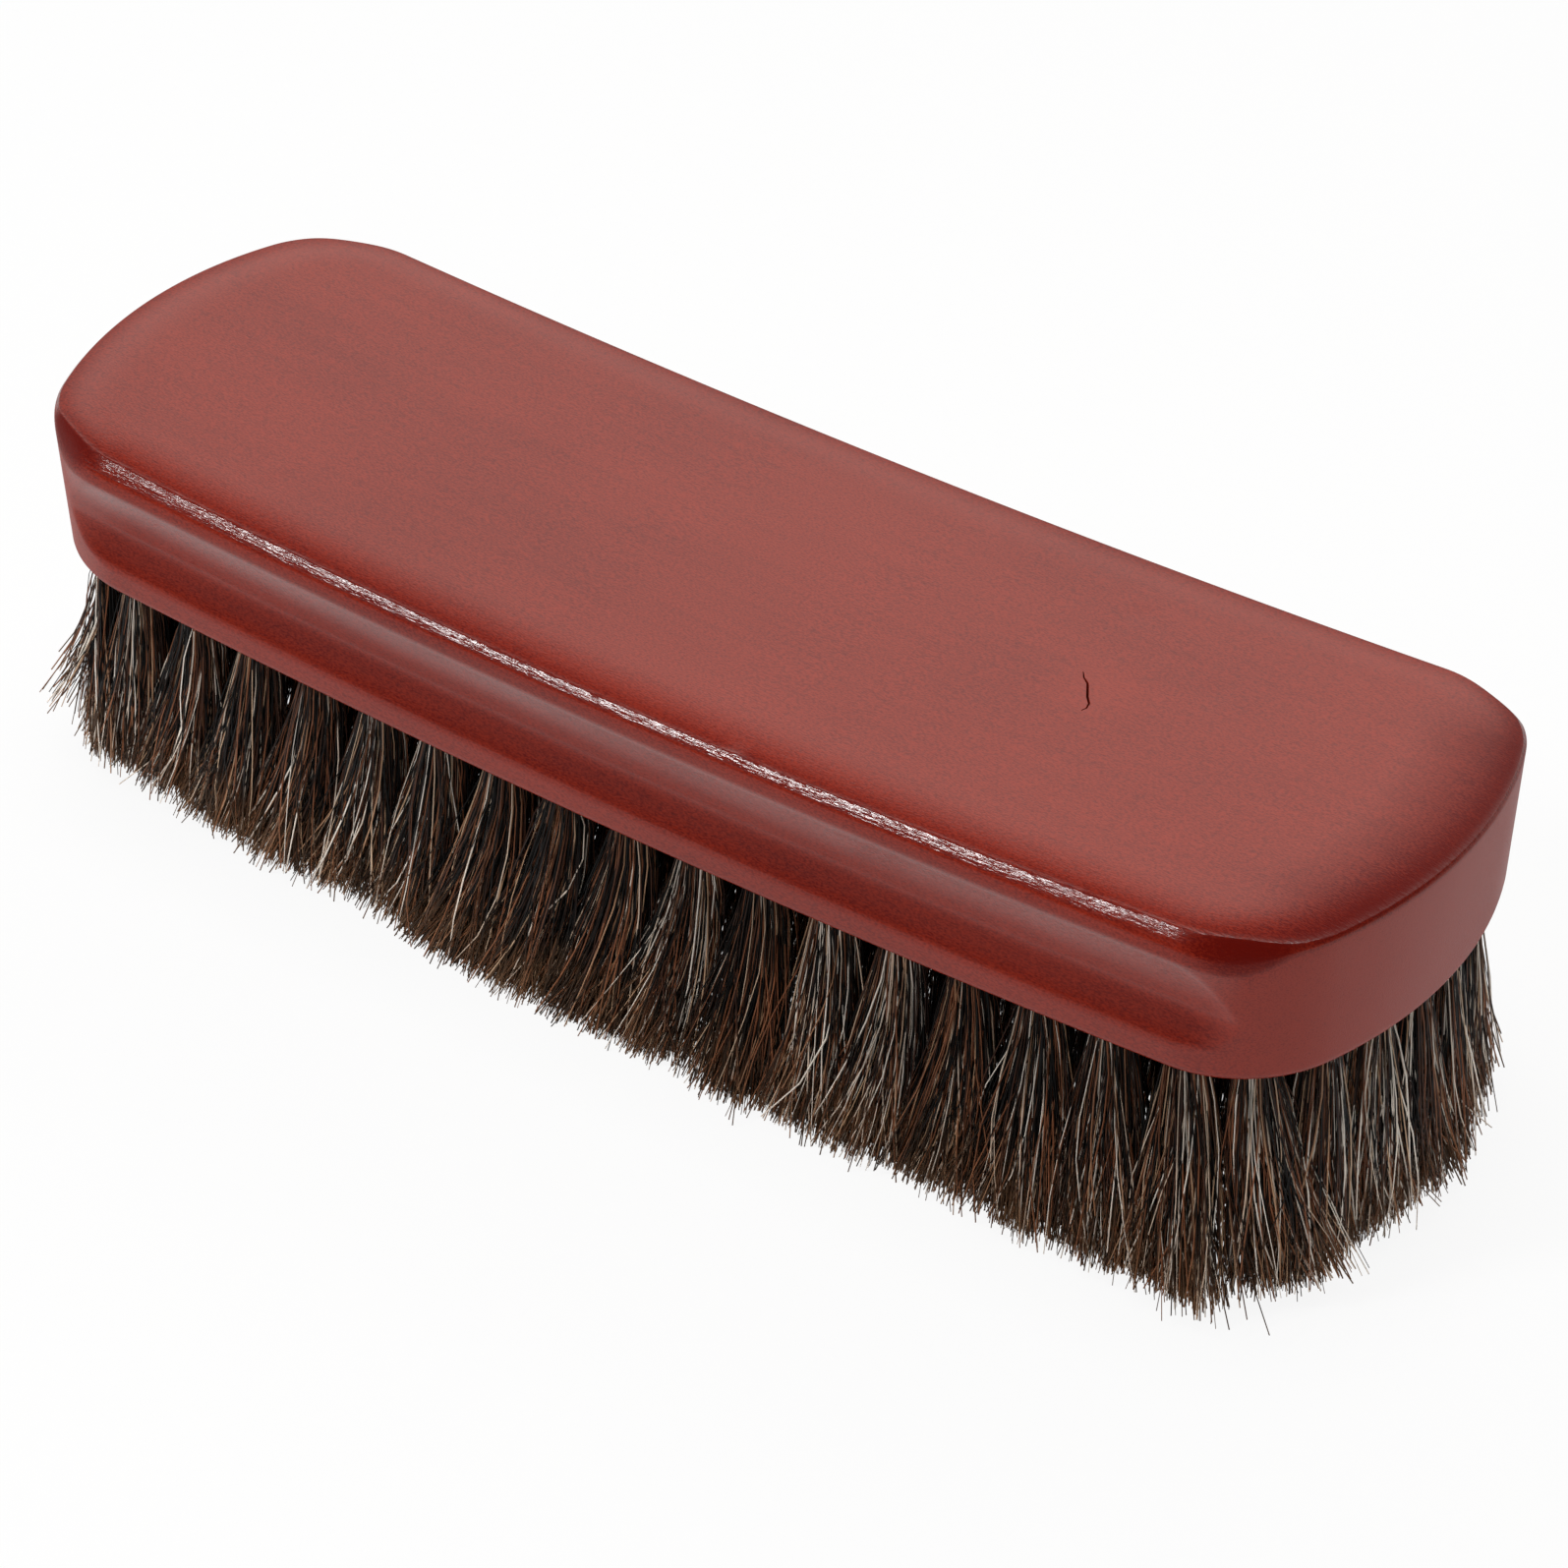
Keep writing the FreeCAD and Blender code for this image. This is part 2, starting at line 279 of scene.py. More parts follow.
# Studio around the brush: heading of the light behind it, and the levels between which each light changes
BACKWARD = (-0.58, 0.81)
BEHIND = (0.15, 0.75)
LOW_BAND = (0.05, 0.18)
BACK_TOP = (0.67, 0.79)
BACK_FOOT = (0.15, 0.48)
FRONT_DARK = 0.04
BACK_DARK = 0.12
BACK_LOW = 0.3
STUDIO_TINT = (1.0, 0.98, 0.93, 1.0)


def distance(name, description, default):
    """Property for a length in metres."""
    return bpy.props.FloatProperty(name=name, description=description, default=default, unit="LENGTH")


def colour(name, description, default):
    """Property for a colour."""
    return bpy.props.FloatVectorProperty(
        name=name, description=description, default=default, size=3, subtype="COLOR", min=0.0, max=1.0)


class BlockSettings(bpy.types.PropertyGroup):
    """Sizes and colours of the wooden block."""

    length: distance("Length", "Length of the block", 0.170)
    width: distance("Width", "Width across the top", 0.0546)
    thickness: distance("Thickness", "Thickness in the middle", 0.0178)
    bottom: distance("Bottom", "Height of the underside over the hair tips", 0.0265)
    end_lift: distance("End lift", "How far the bow lifts both ends", 0.0033)
    roll_width: distance("Roll width", "Width of the band where the top rolls off", 0.007)
    roll_drop: distance("Roll drop", "How far the top drops to its rim", 0.001)
    side_bevel: distance("Side bevel", "Width and depth of the bevel on the sides", 0.00097)
    corner_bevel: distance("Corner bevel", "Depth of the bevel at the corners", 0.0019)
    end_bevel: distance("End bevel", "Width and depth of the bevel at the ends", 0.00025)
    cove_height: distance("Cove height", "Height of the finger coves", 0.0109)
    cove_depth: distance("Cove depth", "Depth of the finger coves", 0.0018)
    stain: colour("Stain", "Red stain of the wood", (0.295, 0.0225, 0.008))
    # The deep stain is also the colour toward which the painted shade darkens the wood
    deep_stain_and_painted_shade: colour("Deep stain", "Stain gathered in the grain", (0.115, 0.0042, 0.002))


class TuftSettings(bpy.types.PropertyGroup):
    """Sizes and colours of the horsehair tufts."""

    free_length: distance("Free length", "Length of hair below the wood", 0.0268)
    hair_diameter: distance("Hair diameter", "Mean diameter of one hair", 0.000168)
    outer_hairs: bpy.props.IntProperty(
        name="Outer hairs", description="Hairs in each outer tuft along the sides", default=800)
    end_hairs: bpy.props.IntProperty(
        name="End hairs", description="Hairs in each tuft around the ends", default=700)
    inner_hairs: bpy.props.IntProperty(
        name="Inner hairs", description="Hairs in each tuft inside the ring", default=160)
    spread_along: distance("Spread along", "Half width of a tuft's tip along the rim", 0.0104)
    spread_outer: distance("Spread outward", "Half depth of an outer tuft's tip", 0.0042)
    spread_inner: distance("Spread inside", "Half depth of an inner tuft's tip", 0.0085)
    length_scatter: bpy.props.FloatProperty(
        name="Length scatter", description="Share by which hairs differ in length", default=0.024)
    wander: distance("Wander", "How far a hair strays from its line", 0.0010)
    locks: bpy.props.FloatProperty(
        name="Locks", description="Number of locks in a tuft", default=30.0)
    lock_pull: bpy.props.FloatProperty(
        name="Lock pull", description="How far tips gather into locks", default=0.46, subtype="FACTOR")
    crossing: bpy.props.FloatProperty(
        name="Crossing", description="How far hairs cross below the wood", default=0.45, subtype="FACTOR")
    black: colour("Black hair", "Darkest hair", (0.0035, 0.0024, 0.002))
    brown: colour("Brown hair", "Dark brown hair", (0.062, 0.0235, 0.0125))
    rust: colour("Rust hair", "Reddish brown hair", (0.25, 0.092, 0.042))
    tan: colour("Tan hair", "Pale brown hair", (0.64, 0.42, 0.26))
    grey: colour("Grey hair", "Pale grey hair", (1.0, 0.91, 0.81))
    worn_tip: colour("Worn tips", "Bleached tips of the hair", (0.30, 0.155, 0.075))


class StapleSettings(bpy.types.PropertyGroup):
    """Finish of the wire staples."""

    steel: colour("Steel", "Colour of the drawn wire", (0.56, 0.55, 0.53))


class StageSettings(bpy.types.PropertyGroup):
    """Floor and light around the brush."""

    floor: colour("Floor", "Colour of the floor", (0.90, 0.90, 0.90))
    overhead_power: bpy.props.FloatProperty(
        name="Overhead power", description="Power of the softbox overhead", default=7.2, unit="POWER")
    lip_power: bpy.props.FloatProperty(
        name="Lip power", description="Power of the softbox that lights the lip", default=3.5, unit="POWER")
    fill: bpy.props.FloatProperty(
        name="Fill", description="Level of the light from behind", default=2.1, min=0.0, max=5.0,
        subtype="FACTOR")
    front: bpy.props.FloatProperty(
        name="Front", description="Level of the low light from the front", default=1.2, min=0.0, max=2.0,
        subtype="FACTOR")


class Field:
    """Value of one socket in a node tree: arithmetic with it adds math nodes to the tree."""

    def __init__(self, bench, socket):
        self.bench = bench
        self.socket = socket

    def __add__(self, other):
        return self.bench.math("ADD", self, other)

    def __radd__(self, other):
        return self.bench.math("ADD", other, self)

    def __sub__(self, other):
        return self.bench.math("SUBTRACT", self, other)

    def __rsub__(self, other):
        return self.bench.math("SUBTRACT", other, self)

    def __mul__(self, other):
        return self.bench.math("MULTIPLY", self, other)

    def __truediv__(self, other):
        return self.bench.math("DIVIDE", self, other)

    def __pow__(self, power):
        return self.bench.math("POWER", self, power)

    def __lt__(self, other):
        return self.bench.math("LESS_THAN", self, other)

    def __gt__(self, other):
        return self.bench.math("GREATER_THAN", self, other)


class NodeBench:
    """Adds nodes to one tree and feeds their sockets with values or fields."""

    def __init__(self, tree):
        self.tree = tree

    def add(self, kind, inputs=None, **settings):
        node = self.tree.nodes.new(kind)
        for name, value in settings.items():
            setattr(node, name, value)
        for key, value in (inputs or {}).items():
            self.feed(node.inputs[key], value)
        return node

    def feed(self, socket, value):
        if isinstance(value, Field):
            self.tree.links.new(value.socket, socket)
        else:
            socket.default_value = value

    def out(self, node, key=0):
        return Field(self, node.outputs[key])

    def field(self, kind, inputs=None, output=0, **settings):
        return self.out(self.add(kind, inputs, **settings), output)

    def math(self, operation, *values):
        return self.field("ShaderNodeMath", dict(enumerate(values)), operation=operation)

    def vector(self, operation, *values):
        output = "Value" if operation in ("DISTANCE", "DOT_PRODUCT") else "Vector"
        return self.field("ShaderNodeVectorMath", dict(enumerate(values)), output, operation=operation)

    def scaled(self, vector, factor):
        return self.field("ShaderNodeVectorMath", {0: vector, "Scale": factor}, "Vector", operation="SCALE")

    def xyz(self, x, y, z):
        return self.field("ShaderNodeCombineXYZ", {"X": x, "Y": y, "Z": z})

    def parts(self, vector):
        node = self.add("ShaderNodeSeparateXYZ", {0: vector})
        return [self.out(node, axis) for axis in "XYZ"]

    def ramp(self, value, low, high, to_low=0.0, to_high=1.0):
        inputs = {"Value": value, "From Min": low, "From Max": high, "To Min": to_low, "To Max": to_high}
        return self.field("ShaderNodeMapRange", inputs, interpolation_type="SMOOTHSTEP")

    def mix(self, factor, first, second):
        return self.field("ShaderNodeMix", {0: factor, 6: first, 7: second}, 2, data_type="RGBA")

    def attribute(self, name):
        return self.field("ShaderNodeAttribute", None, "Fac", attribute_name=name)

    def named(self, name, kind="FLOAT"):
        return self.field("GeometryNodeInputNamedAttribute", {"Name": name}, data_type=kind)

    def stored(self, geometry, name, value, kind="FLOAT"):
        inputs = {"Geometry": geometry, "Name": name, "Value": value}
        return self.field("GeometryNodeStoreNamedAttribute", inputs, data_type=kind, domain="POINT")


def total(fields):
    """Sum of fields, in their order."""
    return reduce(add, fields)


def rgba(tint):
    """Colour with full alpha."""
    return (*tint[:3], 1.0)


def shares(steps):
    """Even shares from 0 to 1."""
    return np.linspace(0, 1, steps + 1)


def smooth_step(value, low, high):
    """Smooth rise from 0 at low to 1 at high."""
    share = min(1.0, max(0.0, (value - low) / (high - low)))
    return share * share * (3 - 2 * share)


def smooth_band(value, rise, full, fall, end):
    """Smooth rise between the first two levels, and smooth fall between the last two."""
    return smooth_step(value, rise, full) * (1 - smooth_step(value, fall, end))


def new_piece(name, vertices, faces):
    """New mesh object in the scene, at the origin."""
    mesh = bpy.data.meshes.new(name)
    mesh.from_pydata(vertices, [], faces)
    mesh.update()
    piece = bpy.data.objects.new(name, mesh)
    bpy.context.scene.collection.objects.link(piece)
    return piece


def hold(piece, name, kind, values):
    """Keep a value for each point of a piece as an attribute."""
    key = "vector" if kind == "FLOAT_VECTOR" else "value"
    piece.data.attributes.new(name, kind, "POINT").data.foreach_set(key, np.ravel(values).tolist())


def geometry_tree(name, floats, others):
    """New geometry node tree with its named inputs, the bench for its nodes, and its inputs as fields."""
    tree = bpy.data.node_groups.new(name, "GeometryNodeTree")
    tree.interface.new_socket("Geometry", in_out="INPUT", socket_type="NodeSocketGeometry")
    tree.interface.new_socket("Geometry", in_out="OUTPUT", socket_type="NodeSocketGeometry")
    for label in floats:
        tree.interface.new_socket(label, in_out="INPUT", socket_type="NodeSocketFloat")
    for label, kind in others.items():
        tree.interface.new_socket(label, in_out="INPUT", socket_type=kind)
    bench = NodeBench(tree)
    given = bench.add("NodeGroupInput").outputs
    return tree, bench, {socket.name: Field(bench, socket) for socket in given if socket.name}


def end_tree(bench, geometry, finish):
    """End a geometry node tree: instances made real, and their material."""
    real = bench.field("GeometryNodeRealizeInstances", {"Geometry": geometry})
    dressed = bench.field("GeometryNodeSetMaterial", {"Geometry": real, "Material": finish})
    bench.add("NodeGroupOutput", {0: dressed})


def plain_mesh(piece, tree, values):
    """Run a geometry node tree on a piece and keep its result as the piece's plain mesh."""
    modifier = piece.modifiers.new(tree.name, "NODES")
    modifier.node_group = tree
    for item in tree.interface.items_tree:
        if item.in_out == "INPUT" and item.name in values:
            modifier[item.identifier] = values[item.name]
    depsgraph = bpy.context.evaluated_depsgraph_get()
    made = bpy.data.meshes.new_from_object(
        piece.evaluated_get(depsgraph), preserve_all_data_layers=True, depsgraph=depsgraph)
    piece.modifiers.clear()
    start = piece.data
    piece.data = made
    made.name = piece.name
    bpy.data.meshes.remove(start)
    if not made.polygons:
        raise RuntimeError(f"{piece.name} came out empty")


def keep_attributes(mesh, names):
    """Remove the working attributes from a finished mesh."""
    kept = (*names, "sharp_face", "sharp_edge", "material_index")
    free = [item.name for item in mesh.attributes if not item.is_internal and not item.is_required]
    for name in free:
        if name not in kept:
            mesh.attributes.remove(mesh.attributes[name])


class BlockShape:
    """Places on the block that follow from its settings."""

    def __init__(self, block):
        self.half_length = block.length / 2
        self.half_width = block.width / 2
        self.top = block.bottom + block.thickness
        self.bow_radius = (self.half_length**2 + block.end_lift**2) / (2 * block.end_lift)
        self.bottom_radius = self.bow_radius + block.thickness
        self.end_radius = (self.half_width**2 + END_ARC_RISE**2) / (2 * END_ARC_RISE)
        self.end_x = self.half_length - self.end_radius
        self.corner_y = self.half_width - CORNER_RADIUS
        self.corner_x = self.end_x + sqrt((self.end_radius - CORNER_RADIUS)**2 - self.corner_y**2)
        self.corner_angle = atan2(self.corner_y, self.corner_x - self.end_x)
        self.row_inset = WALL_LEAN + HOLE_EDGE_MARGIN
        self.outer_y = self.half_width - self.row_inset

    def quarter(self, block):
        """Outline from mid side to mid end: place, outward normal, bevel width and depth."""
        side, end = block.side_bevel, block.end_bevel
        rows = []
        for share in shares(SIDE_STEPS)[:-1]:
            bevel = side * (BEVEL_MIDDLE + BEVEL_GAIN * share**2)
            rows.append((self.corner_x * share, self.half_width, 0.0, 1.0, bevel, bevel))
        for share in shares(CORNER_STEPS)[:-1]:
            angle = pi / 2 + (self.corner_angle - pi / 2) * share
            x = self.corner_x + CORNER_RADIUS * cos(angle)
            y = self.corner_y + CORNER_RADIUS * sin(angle)
            fade = smooth_step(share, 0.0, 1.0)
            bevel = side * (BEVEL_MIDDLE + BEVEL_GAIN) * (1 - fade) + end * fade
            swell = sin(pi * min(1.0, share * CORNER_SWELL))**2
            fall = bevel + (block.corner_bevel - bevel) * swell
            rows.append((x, y, cos(angle), sin(angle), bevel + FACET_SPREAD * (fall - bevel), fall))
        for share in shares(END_STEPS):
            angle = self.corner_angle * (1 - share)
            x = self.end_x + self.end_radius * cos(angle)
            rows.append((x, self.end_radius * sin(angle), cos(angle), sin(angle), end, end))
        return np.array(rows)

    def outline(self, block):
        """Whole outline, anticlockwise from the middle of the front."""
        quarter = self.quarter(block)
        front_right = quarter * np.array([1, -1, 1, -1, 1, 1])
        back_right = quarter[::-1]
        back_left = quarter * np.array([-1, 1, -1, 1, 1, 1])
        front_left = quarter[::-1] * np.array([-1, -1, -1, -1, 1, 1])
        return np.concatenate([front_right, back_right[1:], back_left[1:], front_left[1:-1]])

    def hole_frame(self, x, y):
        """Place of a hole's mouth on the bowed underside, and the axis that points up into the wood."""
        angle = x / self.bottom_radius
        z = self.top + self.bow_radius - self.bottom_radius * cos(angle)
        return Vector((self.bottom_radius * sin(angle), y, z)), Vector((-sin(angle), 0, cos(angle)))

    def cross_row(self, row):
        """Plan places of the tufts in one cross row."""
        share = 2 * row / (CROSS_ROWS - 1) - 1
        places = []
        for i in range(TUFTS_PER_ROW):
            y = self.outer_y * (2 * i / (TUFTS_PER_ROW - 1) - 1)
            places.append((share * (self.corner_x + ROW_BULGE * (1 - (y / self.outer_y)**2)), y))
        return places

    def end_row(self, side):
        """Plan places of the tufts that follow one curved end."""
        corner = CORNER_RADIUS - self.row_inset
        end = self.end_radius - self.row_inset
        corner_run = corner * (pi / 2 - self.corner_angle)
        half_run = corner_run + end * self.corner_angle
        places = []
        for i in range(TUFTS_PER_END):
            along = half_run * (2 * (i + 1) / (TUFTS_PER_END + 1) - 1)
            to_side = half_run - abs(along)
            if to_side < corner_run:
                angle = pi / 2 - to_side / corner
                x = self.corner_x + corner * cos(angle)
                y = self.corner_y + corner * sin(angle)
            else:
                angle = abs(along) / end
                x = self.end_x + end * cos(angle)
                y = end * sin(angle)
            places.append((side * x, y if along > 0 else -y))
        return places

    def rimward(self, x, y, ends):
        """Direction in plan from a tuft to the nearest rim: straight across, or out from the curved end."""
        if not ends:
            return (0.0, 1.0 if y > 0 else -1.0)
        if abs(x) > self.corner_x and abs(y) > self.corner_y:
            dx, dy = abs(x) - self.corner_x, abs(y) - self.corner_y
        else:
            dx, dy = abs(x) - self.end_x, abs(y)
        run = hypot(dx, dy)
        return (dx / run * (1 if x > 0 else -1), dy / run * (1 if y > 0 else -1))

    def rows(self):
        """All tuft places, row by row from the left end to the right end."""
        return [self.end_row(-1)] + [self.cross_row(row) for row in range(CROSS_ROWS)] + [self.end_row(1)]


def roll_depth(inset, block):
    """How far the top has rolled off at a distance in from the outline."""
    return block.roll_drop * max(0.0, 1 - inset / block.roll_width)**2


def bevel_runs(x, width, fall):
    """Straight runs of the bevel and its turn into the wall: length, tilt, the rim mark (gloss with painted
    shade) and the painted shade of the corner facets.
    """
    bevel = hypot(width, fall)
    slant = degrees(atan2(fall, width))
    evenness = (width / fall)**2
    gloss = evenness * (1 - RIGHT_FADE * smooth_step(x, *RIGHT_FADE_RUN))
    # Painted shade on the broad corner facets
    facet = min(1.0, FACET_PAINTED_SHADE * (1 - evenness))
    runs = []
    tilts = np.linspace(slant - BEVEL_CROWN, slant + BEVEL_CROWN, BEVEL_STEPS)
    for tilt, fade in zip(tilts, np.linspace(0, BEVEL_FADE, BEVEL_STEPS)):
        runs.append((bevel / BEVEL_STEPS, radians(tilt), gloss * (1 - fade), facet))
    turn = TURN_ROUND * bevel * radians(WALL_TILT - tilts[-1]) / TURN_STEPS
    turns = np.linspace(tilts[-1], WALL_TILT, TURN_STEPS)
    for tilt, share in zip(turns, np.linspace(1, FACET_PAINTED_SHADE_FOOT, TURN_STEPS)):
        runs.append((turn, radians(tilt), TURN_SHADE, facet * share))
    return runs


def rim_profile(row, block):
    """Top edge at one place of the outline, down to the wall: inset, depth, rim mark (painted shade and
    gloss), polish, and painted shade of the facets and the right end.
    """
    x, y, out_x, out_y, width, fall = row
    runs = bevel_runs(x, width, fall)
    start = sum(length * cos(tilt) for length, tilt, shade, stain in runs)
    # Painted shade beside the rim, darker where the rim faces front and right, away from the light behind
    # the brush
    backward = out_x * BACKWARD[0] + out_y * BACKWARD[1]
    rim_shade = RIM_SHADE * (RIM_SHADE_MEAN - RIM_SHADE_SWING * backward)
    shade_width = SHADE_WIDTH * (1 + END_SHADE_GAIN * out_x**2)
    # Painted shade that darkens the top toward the right end
    end_painted_shade = END_PAINTED_SHADE * max(0.0, out_x)**2
    profile = []
    for share in (1 - shares(ROLL_STEPS))**ROLL_CROWD:
        inset = start + (INNER_RING - start) * share
        near = max(0.0, 1 - (inset - start) / shade_width)
        # Painted shade toward the right end, fading inward
        stain = end_painted_shade * (1 - share)**END_PAINTED_SHADE_POWER
        profile.append((inset, roll_depth(inset, block), rim_shade * near**2, 0.0, stain))
    arris = start + ARRIS_RING
    profile.insert(-1, (arris, roll_depth(arris, block), rim_shade, 0.0, end_painted_shade))
    inset, depth = start, roll_depth(start, block)
    # The last value of each run is the painted shade of the corner facets
    for length, tilt, shade, stain in runs:
        inset -= length * cos(tilt)
        depth += length * sin(tilt)
        profile.append((inset, depth, shade, 0.0, stain))
    return profile


def wall_marks(depth, wall_top, block):
    """Painted shade under the rim, painted shade in the cove's foot, and polish on the cove's upper edge."""
    edge = block.roll_drop + LIP_HEIGHT
    foot = edge + block.cove_height
    lip = LIP_SHADE * max(0.0, 1 - (depth - wall_top) / LIP_SHADE_DEPTH)
    # Painted shade in the cove's foot
    painted_shading = COVE_SHADE * smooth_band(depth, *(foot + COVE_SHADE_BAND))
    return lip, painted_shading, smooth_band(depth, *(edge + RUB_BAND))


def side_profile(row, block):
    """Rings from the inner one of the top down to that of the bottom: inset, depth and the three marks."""
    out_x, out_y = row[2:4]
    profile = rim_profile(row, block)
    sideward = max(0.0, 1 - CORNER_MARK_FADE * out_x**2)
    # Painted light that makes the end walls paler, most toward the front
    pale = -END_WALL_PAINTED_LIGHT * out_x**2 * (1 - out_y)
    wall_top = profile[-1][1]
    wall_foot = block.thickness - FOOT_ROUND
    for share in shares(WALL_STEPS)[1:]:
        depth = wall_top + (wall_foot - wall_top) * share
        lip, painted_shading, rubbed = wall_marks(depth, wall_top, block)
        profile.append((0.0, depth, lip + painted_shading * sideward, rubbed * sideward, pale))
    for angle in pi / 2 * shares(FOOT_STEPS)[1:]:
        profile.append((FOOT_ROUND * (1 - cos(angle)), wall_foot + FOOT_ROUND * sin(angle), 0.0, 0.0, 0.0))
    for share in shares(FOOT_STEPS)[1:]:
        profile.append((FOOT_ROUND + (INNER_RING - FOOT_ROUND) * share, block.thickness, 0.0, 0.0, 0.0))
    return profile


def flat_block(shape, block):
    """Unbowed block without coves: rings of the outline joined into one closed skin, and its marks."""
    outline = shape.outline(block)
    count = len(outline)
    profiles = np.array([side_profile(row, block) for row in outline])
    endward = outline[:, 2:3]**2
    lean = WALL_LEAN + (END_WALL_LEAN - WALL_LEAN) * endward
    inset = profiles[:, :, 0] + END_TRIM * endward + lean * profiles[:, :, 1] / block.thickness
    x = outline[:, 0:1] - outline[:, 2:3] * inset
    y = outline[:, 1:2] - outline[:, 3:4] * inset
    z = shape.top - profiles[:, :, 1]
    rings = [np.stack([x[:, k], y[:, k], z[:, k]], 1) for k in range(inset.shape[1])]
    marks = [profiles[:, k, 2:] for k in range(inset.shape[1])]
    spine = shape.corner_x - INNER_RING
    for ring, at_top in ((rings[0], True), (rings[-1], False)):
        middle = ring.copy()
        middle[:, 0] = np.clip(ring[:, 0], -spine, spine)
        middle[:, 1] = 0.0
        for share in shares(SPINE_STEPS)[1:]:
            at = 0 if at_top else len(rings)
            rings.insert(at, ring + (middle - ring) * share)
            marks.insert(at, np.zeros((count, len(BLOCK_MARKS))))
    faces = []
    for k in range(len(rings) - 1):
        for i in range(count):
            j = (i + 1) % count
            faces.append((k * count + i, (k + 1) * count + i, (k + 1) * count + j, k * count + j))
    return np.concatenate(rings), faces, np.concatenate(marks)


def press_dents(vertices, shape):
    """Press the small dents and bumps of the finish into the unbowed block."""
    bow = shape.bow_radius - np.sqrt(shape.bow_radius**2 - vertices[:, 0]**2)
    for along, across, up, size, depth in np.array(DENTS) * MM:
        away = vertices - (along, across, up)
        away[:, 2] += bow
        near = np.exp(-(np.linalg.norm(away * DENT_STRETCH, axis=1) / size)**2)
        vertices[:, 2] -= depth * near


def crack_blade(shape):
    """Thin jagged wedge that cuts the drying crack into the top."""
    places = np.array(CRACK_LINE) * MM
    runs = np.gradient(places, axis=0)
    runs /= np.linalg.norm(runs, axis=1)[:, None]
    last = len(places) - 1
    vertices = []
    for i, (place, run) in enumerate(zip(places, runs)):
        swell = sin(pi * (CRACK_TAPER + (1 - 2 * CRACK_TAPER) * i / last))
        half = CRACK_HALF_WIDTH * (CRACK_ENDS + (1 - CRACK_ENDS) * swell)
        side = np.array([-run[1], run[0]]) * half
        level = shape.top + shape.bow_radius - sqrt(shape.bow_radius**2 - place[0]**2)
        above = level + CRACK_CLEAR
        vertices += [(*(place + side), above), (*(place - side), above), (*place, level - CRACK_DEPTH)]
    faces = [(0, 2, 1), (3 * last, 3 * last + 1, 3 * last + 2)]
    for a in range(0, 3 * last, 3):
        b = a + 3
        faces += [(a, a + 1, b + 1, b), (a + 1, a + 2, b + 2, b + 1), (a + 2, a, b, b + 2)]
    return new_piece("crack_blade", vertices, faces)


def block_tree():
    """Geometry nodes of the block: the finger coves, the bow, the drilled holes and the crack."""
    tree, bench, given = geometry_tree("bowed_block_with_coves", (
        "Top", "Bow Radius", "Half Width", "Wall Slope", "Cove Depth", "Cove Turn",
        "Cove Rise", "Cove Fall", "Cove Edge Ease", "Hole Radius", "Hole Depth",
    ), {
        "Hole Places": "NodeSocketObject", "Crack Blade": "NodeSocketObject", "Finish": "NodeSocketMaterial",
    })
    x, y, z = bench.parts(bench.field("GeometryNodeInputPosition"))
    depth = given["Top"] - z
    off = depth - given["Cove Turn"]
    above = bench.math("MAXIMUM", off * -1.0 / given["Cove Rise"], 0.0)
    below = bench.math("MAXIMUM", off / given["Cove Fall"], 0.0)
    lift = above**COVE_RISE_POWER + below**COVE_FALL_POWER
    plain = given["Half Width"] - depth * given["Wall Slope"]
    reach = plain + given["Cove Depth"] * (lift - 1.0)
    wall = bench.math("SMOOTH_MIN", bench.math("ABSOLUTE", y), reach, given["Cove Edge Ease"])
    coved = wall * bench.math("SIGN", y)
    radius = given["Bow Radius"] + depth
    bowed = z + (radius - bench.math("SQRT", radius**2.0 - x**2.0))
    shaped = bench.field("GeometryNodeSetPosition", {
        "Geometry": given["Geometry"], "Position": bench.xyz(x, coved, bowed)})
    welded = bench.field("GeometryNodeMergeByDistance", {"Geometry": shaped, "Distance": WELD_DISTANCE})

    length = given["Hole Depth"] * 2.0
    drill = bench.field("GeometryNodeMeshCylinder", {
        "Vertices": DRILL_SIDES, "Radius": given["Hole Radius"], "Depth": length}, "Mesh")
    places = bench.field("GeometryNodeObjectInfo", {"Object": given["Hole Places"]}, "Geometry")
    upward = bench.named("upward", "FLOAT_VECTOR")
    turn = bench.field("FunctionNodeAlignRotationToVector", {"Vector": upward}, axis="Z")
    drills = bench.field("GeometryNodeInstanceOnPoints", {
        "Points": places, "Instance": drill, "Rotation": turn})
    blade = bench.field("GeometryNodeObjectInfo", {"Object": given["Crack Blade"]}, "Geometry")
    tools = bench.add("GeometryNodeJoinGeometry")
    for tool in (blade, bench.field("GeometryNodeRealizeInstances", {"Geometry": drills})):
        bench.feed(tools.inputs[0], tool)
    drilled = bench.field("GeometryNodeMeshBoolean", {
        "Mesh 1": welded, "Mesh 2": bench.out(tools)}, operation="DIFFERENCE", solver="EXACT")

    soft = bench.field("GeometryNodeInputMeshEdgeAngle") < radians(SHARP_ANGLE)
    faces = bench.field("GeometryNodeSetShadeSmooth", {"Geometry": drilled}, domain="FACE")
    edges = bench.field("GeometryNodeSetShadeSmooth", {
        "Geometry": faces, "Shade Smooth": soft}, domain="EDGE")
    end_tree(bench, edges, given["Finish"])
    return tree


